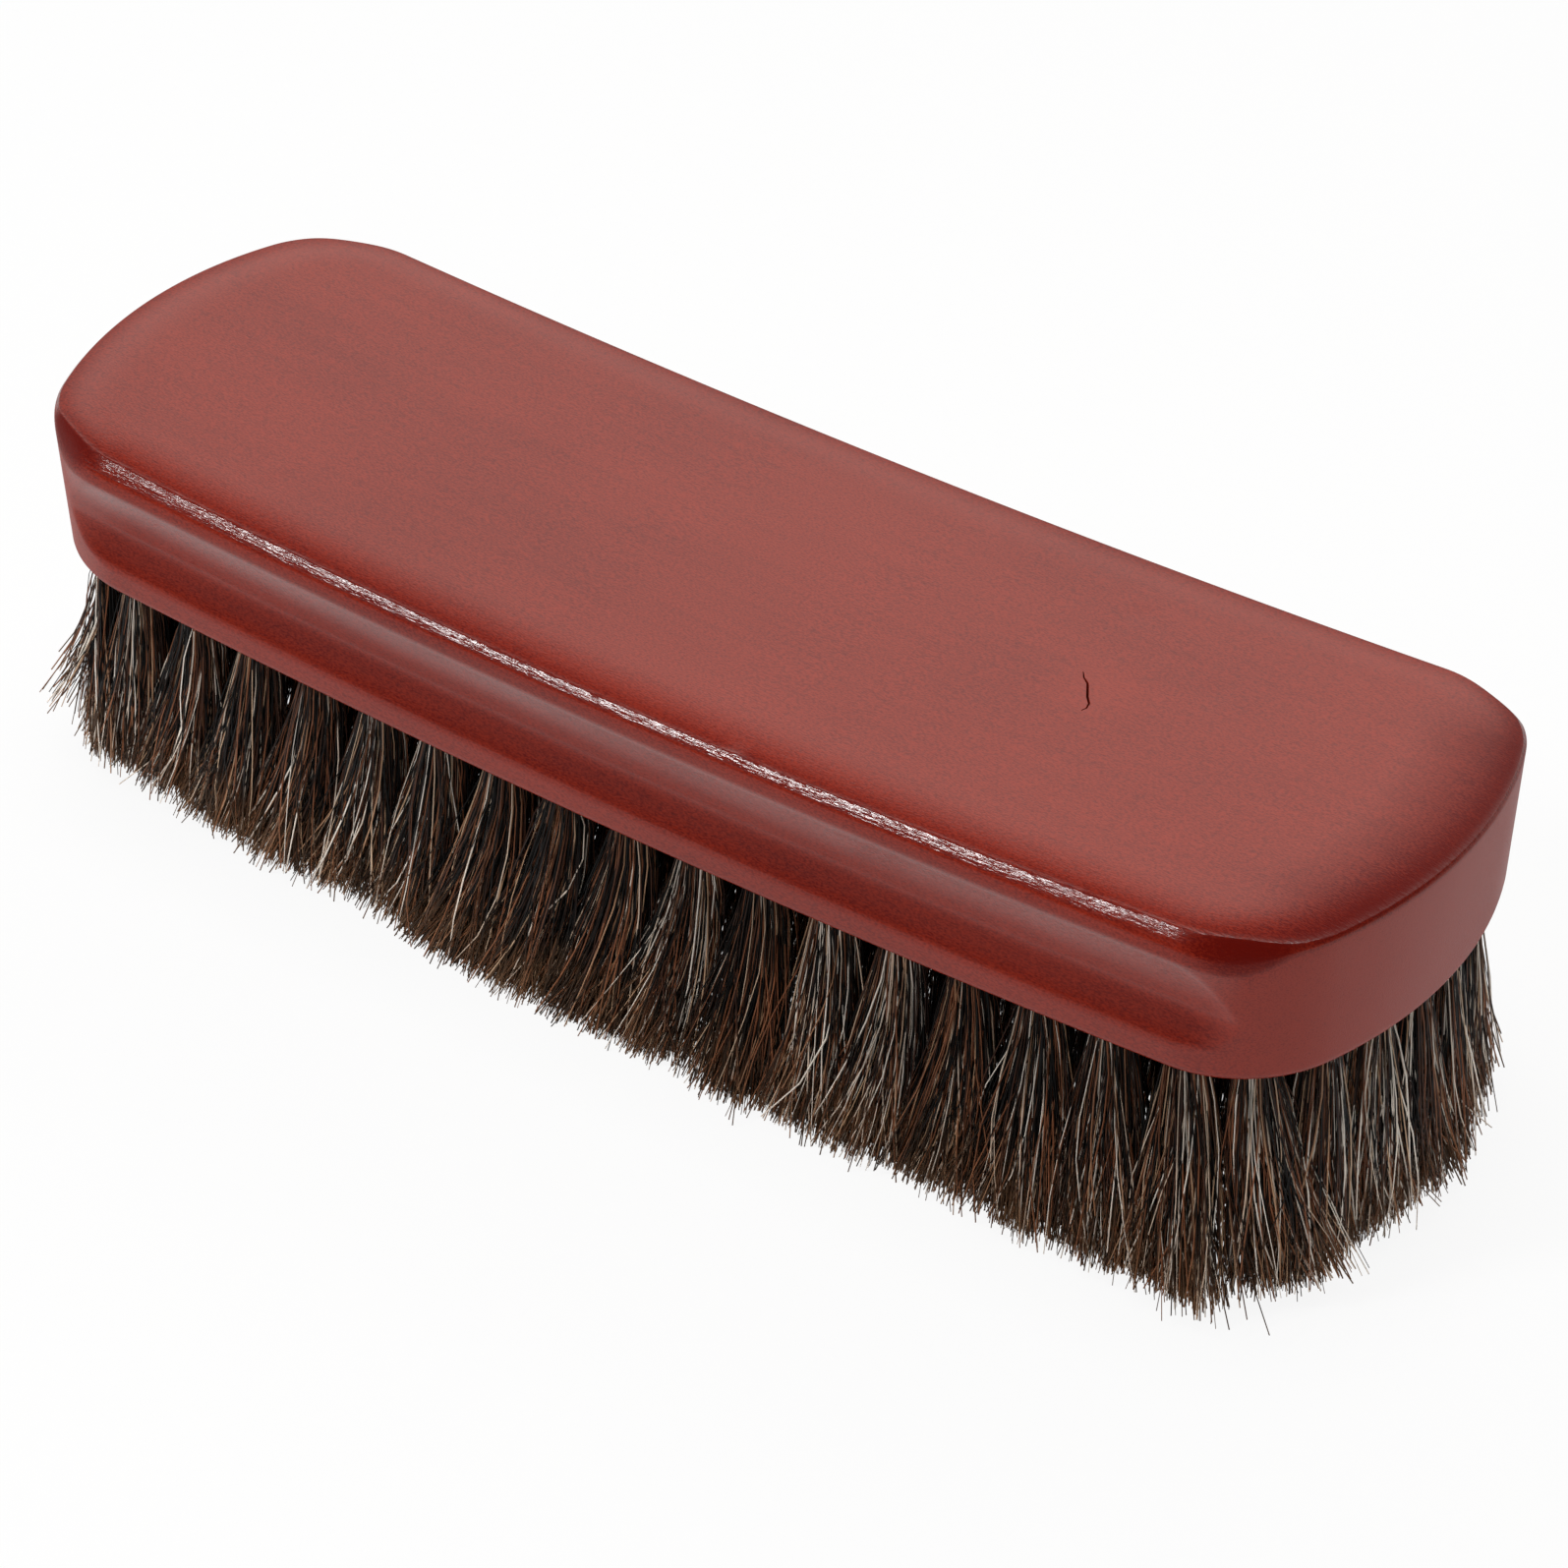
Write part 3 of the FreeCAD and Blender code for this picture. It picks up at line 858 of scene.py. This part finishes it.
def tuft_tree():
    """Geometry nodes of a row of tufts: every hair of every tuft as a thin closed tube."""
    tree, bench, given = geometry_tree("fanned_hair_tufts", (
        "Hair Diameter", "Free Length", "Root Radius", "Root Depth", "Spread Along", "Spread Outer",
        "Spread Inner", "Length Scatter", "Wander", "Locks", "Lock Pull", "Crossing", "Lowest",
    ), {"Seed": "NodeSocketInt", "Finish": "NodeSocketMaterial"})

    def chance(number, low, high, key):
        node = bench.add("FunctionNodeRandomValue", data_type="FLOAT")
        for index, value in ((2, low), (3, high), (7, key), (8, given["Seed"] + float(number))):
            bench.feed(node.inputs[index], value)
        return bench.out(node, 1)

    mouths = bench.field("GeometryNodeMeshToPoints", {"Mesh": given["Geometry"]})
    hairs = bench.field("GeometryNodeDuplicateElements", {
        "Geometry": mouths, "Amount": bench.named("hairs", "INT")}, domain="POINT")
    numbered = bench.stored(hairs, "hair", bench.field("GeometryNodeInputIndex"), "INT")
    pointed = bench.add("GeometryNodeDuplicateElements", {
        "Geometry": numbered, "Amount": HAIR_POINTS}, domain="POINT")
    hair = bench.named("hair", "INT")
    point = bench.out(pointed, "Duplicate Index")
    in_hole = point < 0.5
    free = bench.math("MAXIMUM", (point - 1.0) / (HAIR_POINTS - 2.0), 0.0)

    turn = chance(1, 0.0, 2 * pi, hair)
    out = bench.math("SQRT", chance(2, 0.0, 1.0, hair))
    tip_turn = chance(40, 0.0, 2 * pi, hair)
    tip_out = bench.math("SQRT", chance(41, 0.0, 1.0, hair))
    lock_number = bench.math("FLOOR", chance(3, 0.0, 1.0, hair) * given["Locks"])
    lock = bench.named("tuft") * LOCK_STRIDE + lock_number
    lock_turn = chance(4, 0.0, 2 * pi, lock)
    lock_out = bench.math("SQRT", chance(5, 0.0, 1.0, lock))
    pull = given["Lock Pull"] * free**LOCK_POWER
    crossing = free * given["Crossing"]
    opened = free**OPENING_POWER

    def pulled(wave):
        root = out * bench.math(wave, turn)
        tip = tip_out * bench.math(wave, tip_turn)
        own = root + crossing * (tip - root)
        shared = lock_out * bench.math(wave, lock_turn)
        return own + pull * (shared - own)

    def spread(tip):
        return given["Root Radius"] + (tip - given["Root Radius"]) * opened

    scatter = chance(6, 0.0, 1.0, hair) + chance(7, 0.0, 1.0, hair) - 1.0
    ragged = scatter * OWN_SCATTER + chance(42, -LOCK_SCATTER, LOCK_SCATTER, lock)
    short = (chance(8, 0.0, 1.0, hair) > 1 - SHORT_SHARE) * chance(9, 0.0, SHORT_CUT, hair)
    reach = 1.0 + ragged * given["Length Scatter"] - short
    run = free * reach * given["Free Length"]
    stray = 1.0 + (chance(10, 0.0, 1.0, hair) > 1 - STRAY_SHARE) * STRAY_GAIN
    bend = bench.math("SINE", free * pi)
    wave = bench.math("SINE", free * (2 * pi))

    def wander(number):
        drifted = chance(number, -1.0, 1.0, hair) * free**2.0
        bowed = chance(number + 1, -BOW_SHARE, BOW_SHARE, hair) * bend
        rippled = chance(number + 2, -RIPPLE_SHARE, RIPPLE_SHARE, hair) * wave
        return (drifted + bowed + rippled) * stray * given["Wander"]

    outer = bench.named("outer")
    deep = outer * given["Spread Outer"] + (1.0 - outer) * given["Spread Inner"]
    along = pulled("COSINE") * spread(given["Spread Along"]) + wander(20)
    outward = pulled("SINE") * spread(deep) + wander(30)
    rimward = bench.named("rimward", "FLOAT_VECTOR")
    beside = bench.vector("CROSS_PRODUCT", (0.0, 0.0, 1.0), rimward)
    loose = (lock_number < FLICKED_LOCKS - 0.5) * free**FLICK_POWER
    fanned = bench.vector("ADD", bench.scaled(beside, along), bench.scaled(rimward, outward))
    place = bench.vector("ADD", bench.field("GeometryNodeInputPosition"), fanned)
    for direction, distance in (
        (bench.named("lean", "FLOAT_VECTOR"), free**LEAN_POWER),
        (bench.named("upward", "FLOAT_VECTOR"), in_hole * given["Root Depth"] - run),
        (bench.named("flick", "FLOAT_VECTOR"), loose),
    ):
        place = bench.vector("ADD", place, bench.scaled(direction, distance))
    x, y, z = bench.parts(place)
    level = bench.math("MAXIMUM", z, given["Lowest"])
    laid = bench.field("GeometryNodeSetPosition", {
        "Geometry": bench.out(pointed), "Position": bench.xyz(x, y, level)})

    toned = bench.stored(laid, "tone", chance(15, 0.0, 1.0, hair) + bench.named("tone_shift"))
    lengthwise = bench.stored(toned, "along_hair", free)
    thickness = chance(17, *THICKNESS, hair) * bench.ramp(free, *TIP_TAPER)
    sized = bench.stored(lengthwise, "thickness", thickness)
    curves = bench.field("GeometryNodePointsToCurves", {
        "Points": sized, "Curve Group ID": hair, "Weight": point})
    section = bench.field("GeometryNodeCurvePrimitiveCircle", {
        "Resolution": HAIR_SIDES, "Radius": given["Hair Diameter"] * 0.5})
    tubes = bench.field("GeometryNodeCurveToMesh", {
        "Curve": curves, "Profile Curve": section, "Scale": bench.named("thickness"), "Fill Caps": True})
    smooth = bench.field("GeometryNodeSetShadeSmooth", {"Geometry": tubes}, domain="FACE")
    end_tree(bench, smooth, given["Finish"])
    return tree


def tone_drift_group():
    """Shader group: slow and fine uneven tone over a surface, stretched along its grain."""
    made = bpy.data.node_groups.get("tone_drift")
    if made:
        return made
    tree = bpy.data.node_groups.new("tone_drift", "ShaderNodeTree")
    tree.interface.new_socket("Stretch", in_out="INPUT", socket_type="NodeSocketVector")
    for label in ("Scale", "Detail", "Low", "High"):
        tree.interface.new_socket(label, in_out="INPUT", socket_type="NodeSocketFloat")
    tree.interface.new_socket("Drift", in_out="OUTPUT", socket_type="NodeSocketFloat")
    bench = NodeBench(tree)
    group_input = bench.add("NodeGroupInput")
    stretch, scale, detail, low, high = (bench.out(group_input, index) for index in range(5))
    spot = bench.vector("MULTIPLY", bench.field("ShaderNodeTexCoord", None, "Object"), stretch)
    noise = bench.field("ShaderNodeTexNoise", {
        "Vector": spot, "Scale": scale, "Detail": detail, "Roughness": 0.55})
    bench.add("NodeGroupOutput", {0: bench.ramp(noise, low, high)})
    return tree


def drift(bench, stretch, scale, detail, low, high):
    """Place the tone drift group in a material with its own values."""
    return bench.field("ShaderNodeGroup", {
        "Stretch": stretch, "Scale": scale, "Detail": detail, "Low": low, "High": high},
        node_tree=tone_drift_group())


def grain(bench, shrink, *values):
    """Tone drift stretched along the block."""
    return drift(bench, (shrink, 1.0, 1.0), *values)


def unevenness(bench, spot, shrink, scale, detail):
    """Plain noise stretched along the block."""
    stretched = bench.vector("MULTIPLY", spot, (shrink, 1.0, 1.0))
    return bench.field("ShaderNodeTexNoise", {"Vector": stretched, "Scale": scale, "Detail": detail})


def blot(bench, spot, place, radius):
    """Round spot that fades out from its place."""
    return bench.ramp(bench.vector("DISTANCE", spot, place), 0.0, radius, 1.0, 0.0)


def new_finish(name):
    """New node material, with its bench and its principled shader."""
    finish = bpy.data.materials.new(name)
    finish.use_nodes = True
    return finish, NodeBench(finish.node_tree), finish.node_tree.nodes["Principled BSDF"]


def wood_finish(block):
    """Red stained wood under satin lacquer, with fine pores, streaks, darker patches, and painted shade and
    painted light from the marks on the block's skin.
    """
    finish, bench, shader = new_finish("red_stained_wood")
    spot = bench.field("ShaderNodeTexCoord", None, "Object")
    # Painted shade beside the rim, on the bevel, under the lip and in the cove's foot; it also masks the
    # bevel's gloss and worn streaks
    rim = bench.attribute("rim_shade")
    # Painted shade on the corner facets and the right end, and painted light on the end walls
    painted_shading = bench.attribute("edge_stain")
    cloud = grain(bench, *CLOUD)
    fibre = grain(bench, *FIBRE)
    pore = grain(bench, *PORE)
    patches = total(blot(bench, spot, place, radius) * weight for place, radius, weight in PATCHES)
    tones = {
        "streak": grain(bench, *STREAK), "fibre": fibre, "pore": pore, "rim": rim, "painted_shading": painted_shading,
        "cloud": cloud, "patches": patches * cloud, "knot": blot(bench, spot, *KNOT),
    }
    shade = total(tones[name] * weight for name, weight in GRAIN_AND_PAINTED_SHADE_WEIGHTS.items())
    depth = bench.math("MINIMUM", bench.math("MAXIMUM", shade, 0.0), 1.0)
    bench.feed(shader.inputs["Base Color"], bench.mix(depth, rgba(block.stain), rgba(block.deep_stain_and_painted_shade)))
    dullness = cloud * CLOUD_ROUGHNESS + pore * PORE_ROUGHNESS
    bench.feed(shader.inputs["Roughness"], WOOD_ROUGHNESS + dullness)

    peel = unevenness(bench, spot, *PEEL) * (1.0 + rim * RIM_PEEL)
    lacquer = peel + unevenness(bench, spot, *WORN_STREAKS) * bench.ramp(rim, *WORN_EDGE)
    wood = lacquer - (pore * PORE_DEPTH + fibre * FIBRE_DEPTH)
    for socket, height in (("Normal", wood), ("Coat Normal", lacquer)):
        bench.feed(shader.inputs[socket], bench.field("ShaderNodeBump", {"Height": height, **BUMP}))

    facing = bench.field("ShaderNodeLayerWeight", {"Blend": 0.5}, "Facing")
    satin = bench.ramp(facing, *SATIN_FACING) * bench.ramp(rim, *SATIN_RIM)
    # Less satin where the edge marks paint shade
    satin = satin * bench.ramp(painted_shading, *SATIN_UNDER_PAINTED_SHADE)
    rubbed = bench.attribute("edge_polish") * RUBBED_GLOSS
    bench.feed(shader.inputs["Coat Weight"], satin + bench.ramp(rim, *GLOSSY_EDGE) + rubbed)
    shader.inputs["Coat Roughness"].default_value = 0.16
    shader.inputs["Coat IOR"].default_value = 1.6
    shader.inputs["Specular IOR Level"].default_value = 0.05
    return finish


def hair_finish(tufts):
    """Horsehair from black to grey, with painted shade toward the root under the block, painted light toward
    the tip, and bleached tips.
    """
    finish, bench, shader = new_finish("mixed_horsehair")
    along = bench.attribute("along_hair")
    ramp = bench.add("ShaderNodeValToRGB", {"Fac": bench.attribute("tone")})
    stops = ramp.color_ramp.elements
    for stop, (place, name) in ((stops[0], TONE_STOPS[0]), (stops[1], TONE_STOPS[-1])):
        stop.position = place
        stop.color = rgba(getattr(tufts, name))
    for place, name in TONE_STOPS[1:-1]:
        stops.new(place).color = rgba(getattr(tufts, name))
    patchy = drift(bench, *HAIR_PATCHES)
    # Painted shade along the hair: darker at the root under the block, lighter at the tip
    light = bench.ramp(along, *PAINTED_SHADE_ALONG_HAIR) + patchy * PATCH_LIGHT
    lit = bench.vector("MULTIPLY", bench.out(ramp), bench.xyz(light, light, light))
    worn = bench.ramp(along, *WORN_TIP) * bench.ramp(patchy, *WORN_PATCH)
    bench.feed(shader.inputs["Base Color"], bench.mix(worn, lit, rgba(tufts.worn_tip)))
    bench.feed(shader.inputs["Roughness"], bench.ramp(patchy, *HAIR_ROUGHNESS))
    shader.inputs["Specular IOR Level"].default_value = 0.14
    return finish


def steel_finish(staples):
    """Drawn steel wire with fine lengthwise lines."""
    finish, bench, shader = new_finish("drawn_steel_wire")
    lines = drift(bench, *WIRE_LINES)
    dull = drift(bench, *WIRE_DULLNESS)
    dark = [WIRE_SHADE * part for part in staples.steel]
    bench.feed(shader.inputs["Base Color"], bench.mix(dull, rgba(staples.steel), rgba(dark)))
    shader.inputs["Metallic"].default_value = 1.0
    bench.feed(shader.inputs["Roughness"], bench.ramp(lines, *WIRE_ROUGHNESS))
    bump = bench.field("ShaderNodeBump", {"Height": lines, "Strength": 0.3, "Distance": 0.00001})
    bench.feed(shader.inputs["Normal"], bump)
    return finish


def seen_ray(bench):
    """Mask of the rays that see the background: camera, glossy and transmission rays."""
    path = bench.add("ShaderNodeLightPath")
    camera, glossy, through = (bench.out(path, f"Is {ray} Ray") for ray in SEEING_RAYS)
    return bench.math("MAXIMUM", bench.math("MAXIMUM", camera, glossy), through)


def floor_finish(stage):
    """Pale floor paper that stays white to the camera and keeps a soft shadow."""
    finish, bench, shader = new_finish("pale_floor_paper")
    speckle = drift(bench, *PAPER_SPECKLE)
    paper = bench.mix(speckle, rgba(stage.floor), rgba([PAPER_SHADE * part for part in stage.floor]))
    bench.feed(shader.inputs["Base Color"], paper)
    shader.inputs["Roughness"].default_value = 0.9
    shader.inputs["Specular IOR Level"].default_value = 0.0
    white = bench.field("ShaderNodeEmission", {"Color": WHITE, "Strength": 1.0})
    mixed = bench.field("ShaderNodeMixShader", {
        0: seen_ray(bench) * FLOOR_WHITE, 1: bench.out(shader), 2: white})
    bench.feed(finish.node_tree.nodes["Material Output"].inputs["Surface"], mixed)
    return finish


class BRUSH_OT_wooden_block(bpy.types.Operator):
    """Build the stained wooden block with its coves, drilled holes and drying crack"""

    bl_idname = "brush.wooden_block"
    bl_label = "Wooden block"

    def execute(self, context):
        block = context.scene.brush_block
        shape = BlockShape(block)
        vertices, faces, marks = flat_block(shape, block)
        press_dents(vertices, shape)
        piece = new_piece("stained_wooden_block", vertices.tolist(), faces)
        for index, name in enumerate(BLOCK_MARKS):
            hold(piece, name, "FLOAT", marks[:, index])
        mouths = [shape.hole_frame(x, y) for row in shape.rows() for x, y in row]
        holes = new_piece("hole_places", [mouth for mouth, upward in mouths], [])
        hold(holes, "upward", "FLOAT_VECTOR", [upward for mouth, upward in mouths])
        blade = crack_blade(shape)
        cove_rise = COVE_TURN * block.cove_height
        plain_mesh(piece, block_tree(), {
            "Top": shape.top,
            "Bow Radius": shape.bow_radius,
            "Half Width": shape.half_width,
            "Wall Slope": WALL_LEAN / block.thickness,
            "Cove Depth": block.cove_depth,
            "Cove Turn": block.roll_drop + LIP_HEIGHT + cove_rise,
            "Cove Rise": cove_rise,
            "Cove Fall": block.cove_height - cove_rise,
            "Cove Edge Ease": COVE_EDGE_EASE,
            "Hole Radius": HOLE_RADIUS,
            "Hole Depth": HOLE_DEPTH,
            "Hole Places": holes,
            "Crack Blade": blade,
            "Finish": wood_finish(block),
        })
        keep_attributes(piece.data, BLOCK_MARKS)
        if not all(name in piece.data.attributes for name in BLOCK_MARKS):
            raise RuntimeError("the block lost the marks on its skin")
        for tool in (holes, blade):
            bpy.data.objects.remove(tool)
        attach(piece, BODY)
        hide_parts("wooden_block")
        return {"FINISHED"}


class BRUSH_OT_hair_tufts(bpy.types.Operator):
    """Build the rows of horsehair tufts, hair by hair"""

    bl_idname = "brush.hair_tufts"
    bl_label = "Hair tufts"

    def execute(self, context):
        tufts = context.scene.brush_tufts
        shape = BlockShape(context.scene.brush_block)
        sizes = {name.replace("_", " ").title(): getattr(tufts, name) for name in HAIR_SIZES}
        sizes.update({"Root Radius": ROOT_RADIUS, "Root Depth": ROOT_DEPTH, "Lowest": LOWEST_TIP})
        sizes["Finish"] = hair_finish(tufts)
        tree = tuft_tree()
        rows = shape.rows()
        draw = np.random.default_rng(TUFT_SEED)
        first = 0
        for row_number, row in enumerate(rows, 1):
            name = f"hair_tufts_{row_number:02d}"
            ends = row_number in (1, len(rows))
            piece = self.row_of_mouths(f"{name}_strands", row, ends, first, shape, tufts, draw)
            first += len(row)
            plain_mesh(piece, tree, {**sizes, "Seed": ROW_SEED * row_number})
            keep_attributes(piece.data, ("tone", "along_hair"))
            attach(piece, BODY)
            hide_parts(name)
        return {"FINISHED"}

    def row_of_mouths(self, name, row, ends, first, shape, tufts, draw):
        """Points at the mouths of one row's holes, with what the hairs of each tuft follow."""
        rim_hairs = tufts.end_hairs if ends else tufts.outer_hairs
        outers, counts, leans, rimwards, tones, flicks = [], [], [], [], [], []
        for place, (x, y) in enumerate(row):
            outer = ends or place in (0, len(row) - 1)
            outers.append(float(outer))
            counts.append(rim_hairs if outer else tufts.inner_hairs)
            toward = shape.rimward(x, y, ends)
            fan = END_FAN if ends else np.interp(x, TUFT_PLACES, FAN_TIPS) * abs(y) / shape.outer_y
            along = np.interp(x, TUFT_PLACES, LEAN_TIPS) + draw.normal(0.0, LEAN_SCATTER)
            leans.append((along + fan * toward[0], fan * toward[1] + draw.normal(0.0, FAN_SCATTER), 0.0))
            rimwards.append((*toward, 0.0))
            tones.append(np.interp(x, TUFT_PLACES, TONE_SHIFTS) + draw.uniform(-TONE_SCATTER, TONE_SCATTER))
            flicks.append(FLICK if first + place in FLICKED_TUFTS else Vector())
        frames = [shape.hole_frame(x, y) for x, y in row]
        piece = new_piece(name, [mouth for mouth, upward in frames], [])
        hold(piece, "hairs", "INT", counts)
        hold(piece, "outer", "FLOAT", outers)
        hold(piece, "tone_shift", "FLOAT", tones)
        hold(piece, "tuft", "FLOAT", [float(first + place) for place in range(len(row))])
        hold(piece, "rimward", "FLOAT_VECTOR", rimwards)
        hold(piece, "upward", "FLOAT_VECTOR", [upward for mouth, upward in frames])
        hold(piece, "lean", "FLOAT_VECTOR", leans)
        hold(piece, "flick", "FLOAT_VECTOR", flicks)
        return piece


class BRUSH_OT_wire_staples(bpy.types.Operator):
    """Give the wire staples their drawn steel finish"""

    bl_idname = "brush.wire_staples"
    bl_label = "Wire staples"

    def execute(self, context):
        finish = steel_finish(context.scene.brush_staples)
        found = [node for name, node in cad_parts.items() if name.startswith("wire_staples")]
        if not found:
            raise RuntimeError("the packed model has no wire staples")
        for node in found:
            for slot in node.material_slots:
                slot.material = finish
        return {"FINISHED"}


class BRUSH_OT_stage(bpy.types.Operator):
    """Set up the floor, the lights and the camera"""

    bl_idname = "brush.stage"
    bl_label = "Stage"

    def execute(self, context):
        stage = context.scene.brush_stage
        turns = ((-1, -1), (1, -1), (1, 1), (-1, 1))
        corners = [(x * FLOOR_HALF, y * FLOOR_HALF, LOWEST_TIP) for x, y in turns]
        floor_piece = new_piece("floor", corners, [(0, 1, 2, 3)])
        floor_piece.data.materials.append(floor_finish(stage))
        self.light_world(context.scene, stage)
        self.softbox("overhead_softbox", *OVERHEAD_BOX, stage.overhead_power)
        self.softbox("lip_softbox", *LIP_BOX, stage.lip_power)
        self.photo_camera(context.scene)
        context.scene.view_settings.view_transform = "Standard"
        return {"FINISHED"}

    def softbox(self, name, heading, elevation, distance, size, power):
        """Square area light that points at the brush."""
        lamp = bpy.data.lights.new(name, "AREA")
        lamp.shape = "SQUARE"
        lamp.size = size
        lamp.energy = power
        run = cos(radians(elevation)) * distance / hypot(*heading)
        place = Vector((heading[0] * run, heading[1] * run, sin(radians(elevation)) * distance))
        holder = bpy.data.objects.new(name, lamp)
        holder.location = place
        holder.rotation_euler = (-place).to_track_quat("-Z", "Y").to_euler()
        bpy.context.scene.collection.objects.link(holder)

    def light_world(self, scene, stage):
        """Surroundings that are white to the camera and light the brush mostly from behind."""
        world = bpy.data.worlds.new("studio")
        world.use_nodes = True
        world.node_tree.nodes.clear()
        bench = NodeBench(world.node_tree)
        toward = bench.vector("NORMALIZE", bench.field("ShaderNodeTexCoord", None, "Generated"))
        up = bench.parts(toward)[2]
        behind = bench.ramp(bench.vector("DOT_PRODUCT", toward, (*BACKWARD, 0.0)), *BEHIND)
        front = bench.ramp(up, *LOW_BAND, stage.front, FRONT_DARK)
        back = bench.ramp(up, *BACK_TOP, stage.fill, BACK_DARK) * bench.ramp(up, *BACK_FOOT, BACK_LOW, 1.0)
        level = front + behind * (back - front)
        seen = bench.field("ShaderNodeBackground", {"Color": WHITE, "Strength": 1.0})
        studio = bench.field("ShaderNodeBackground", {"Color": STUDIO_TINT, "Strength": level})
        camera_ray = bench.field("ShaderNodeLightPath", None, "Is Camera Ray")
        mixed = bench.field("ShaderNodeMixShader", {0: camera_ray, 1: studio, 2: seen})
        bench.add("ShaderNodeOutputWorld", {"Surface": mixed})
        scene.world = world

    def photo_camera(self, scene):
        """Camera at the photograph's viewing angle."""
        lens = bpy.data.cameras.new("photo_camera")
        lens.lens = CAMERA_LENS
        lens.sensor_width = SENSOR_WIDTH
        lens.clip_start = 0.01
        lens.clip_end = 20.0
        azimuth, elevation = radians(CAMERA_AZIMUTH), radians(CAMERA_ELEVATION)
        back = Vector((sin(azimuth) * cos(elevation), -cos(azimuth) * cos(elevation), sin(elevation)))
        aim = (-back).to_track_quat("-Z", "Y").to_matrix().to_4x4()
        roll = Matrix.Rotation(radians(CAMERA_ROLL), 4, "Z")
        camera = bpy.data.objects.new("photo_camera", lens)
        camera.matrix_world = Matrix.Translation(CAMERA_PLACE) @ aim @ roll
        scene.collection.objects.link(camera)
        scene.camera = camera


class BRUSH_PT_panel(bpy.types.Panel):
    """Sidebar panel of the brush"""

    bl_idname = "BRUSH_PT_panel"
    bl_label = "Shoe shine brush"
    bl_space_type = "VIEW_3D"
    bl_region_type = "UI"
    bl_category = "Brush"

    def draw(self, context):
        for (name, kind), operator in zip(SETTINGS.items(), OPERATORS):
            box = self.layout.box()
            for key in kind.__annotations__:
                box.prop(getattr(context.scene, name), key)
            box.operator(operator.bl_idname)


SETTINGS = {
    "brush_block": BlockSettings,
    "brush_tufts": TuftSettings,
    "brush_staples": StapleSettings,
    "brush_stage": StageSettings,
}
OPERATORS = (BRUSH_OT_wooden_block, BRUSH_OT_hair_tufts, BRUSH_OT_wire_staples, BRUSH_OT_stage)
CLASSES = (*SETTINGS.values(), *OPERATORS, BRUSH_PT_panel)


def register():
    """Register the classes and hang their settings on the scene."""
    for item in CLASSES:
        bpy.utils.register_class(item)
    for name, kind in SETTINGS.items():
        setattr(bpy.types.Scene, name, bpy.props.PointerProperty(type=kind))


def unregister():
    """Take the settings off the scene and unregister the classes."""
    for name in SETTINGS:
        delattr(bpy.types.Scene, name)
    for item in reversed(CLASSES):
        bpy.utils.unregister_class(item)


def main():
    """Build the brush and its stage."""
    register()
    bpy.ops.brush.wooden_block()
    bpy.ops.brush.hair_tufts()
    bpy.ops.brush.wire_staples()
    bpy.ops.brush.stage()


if __name__ == "__main__":
    main()
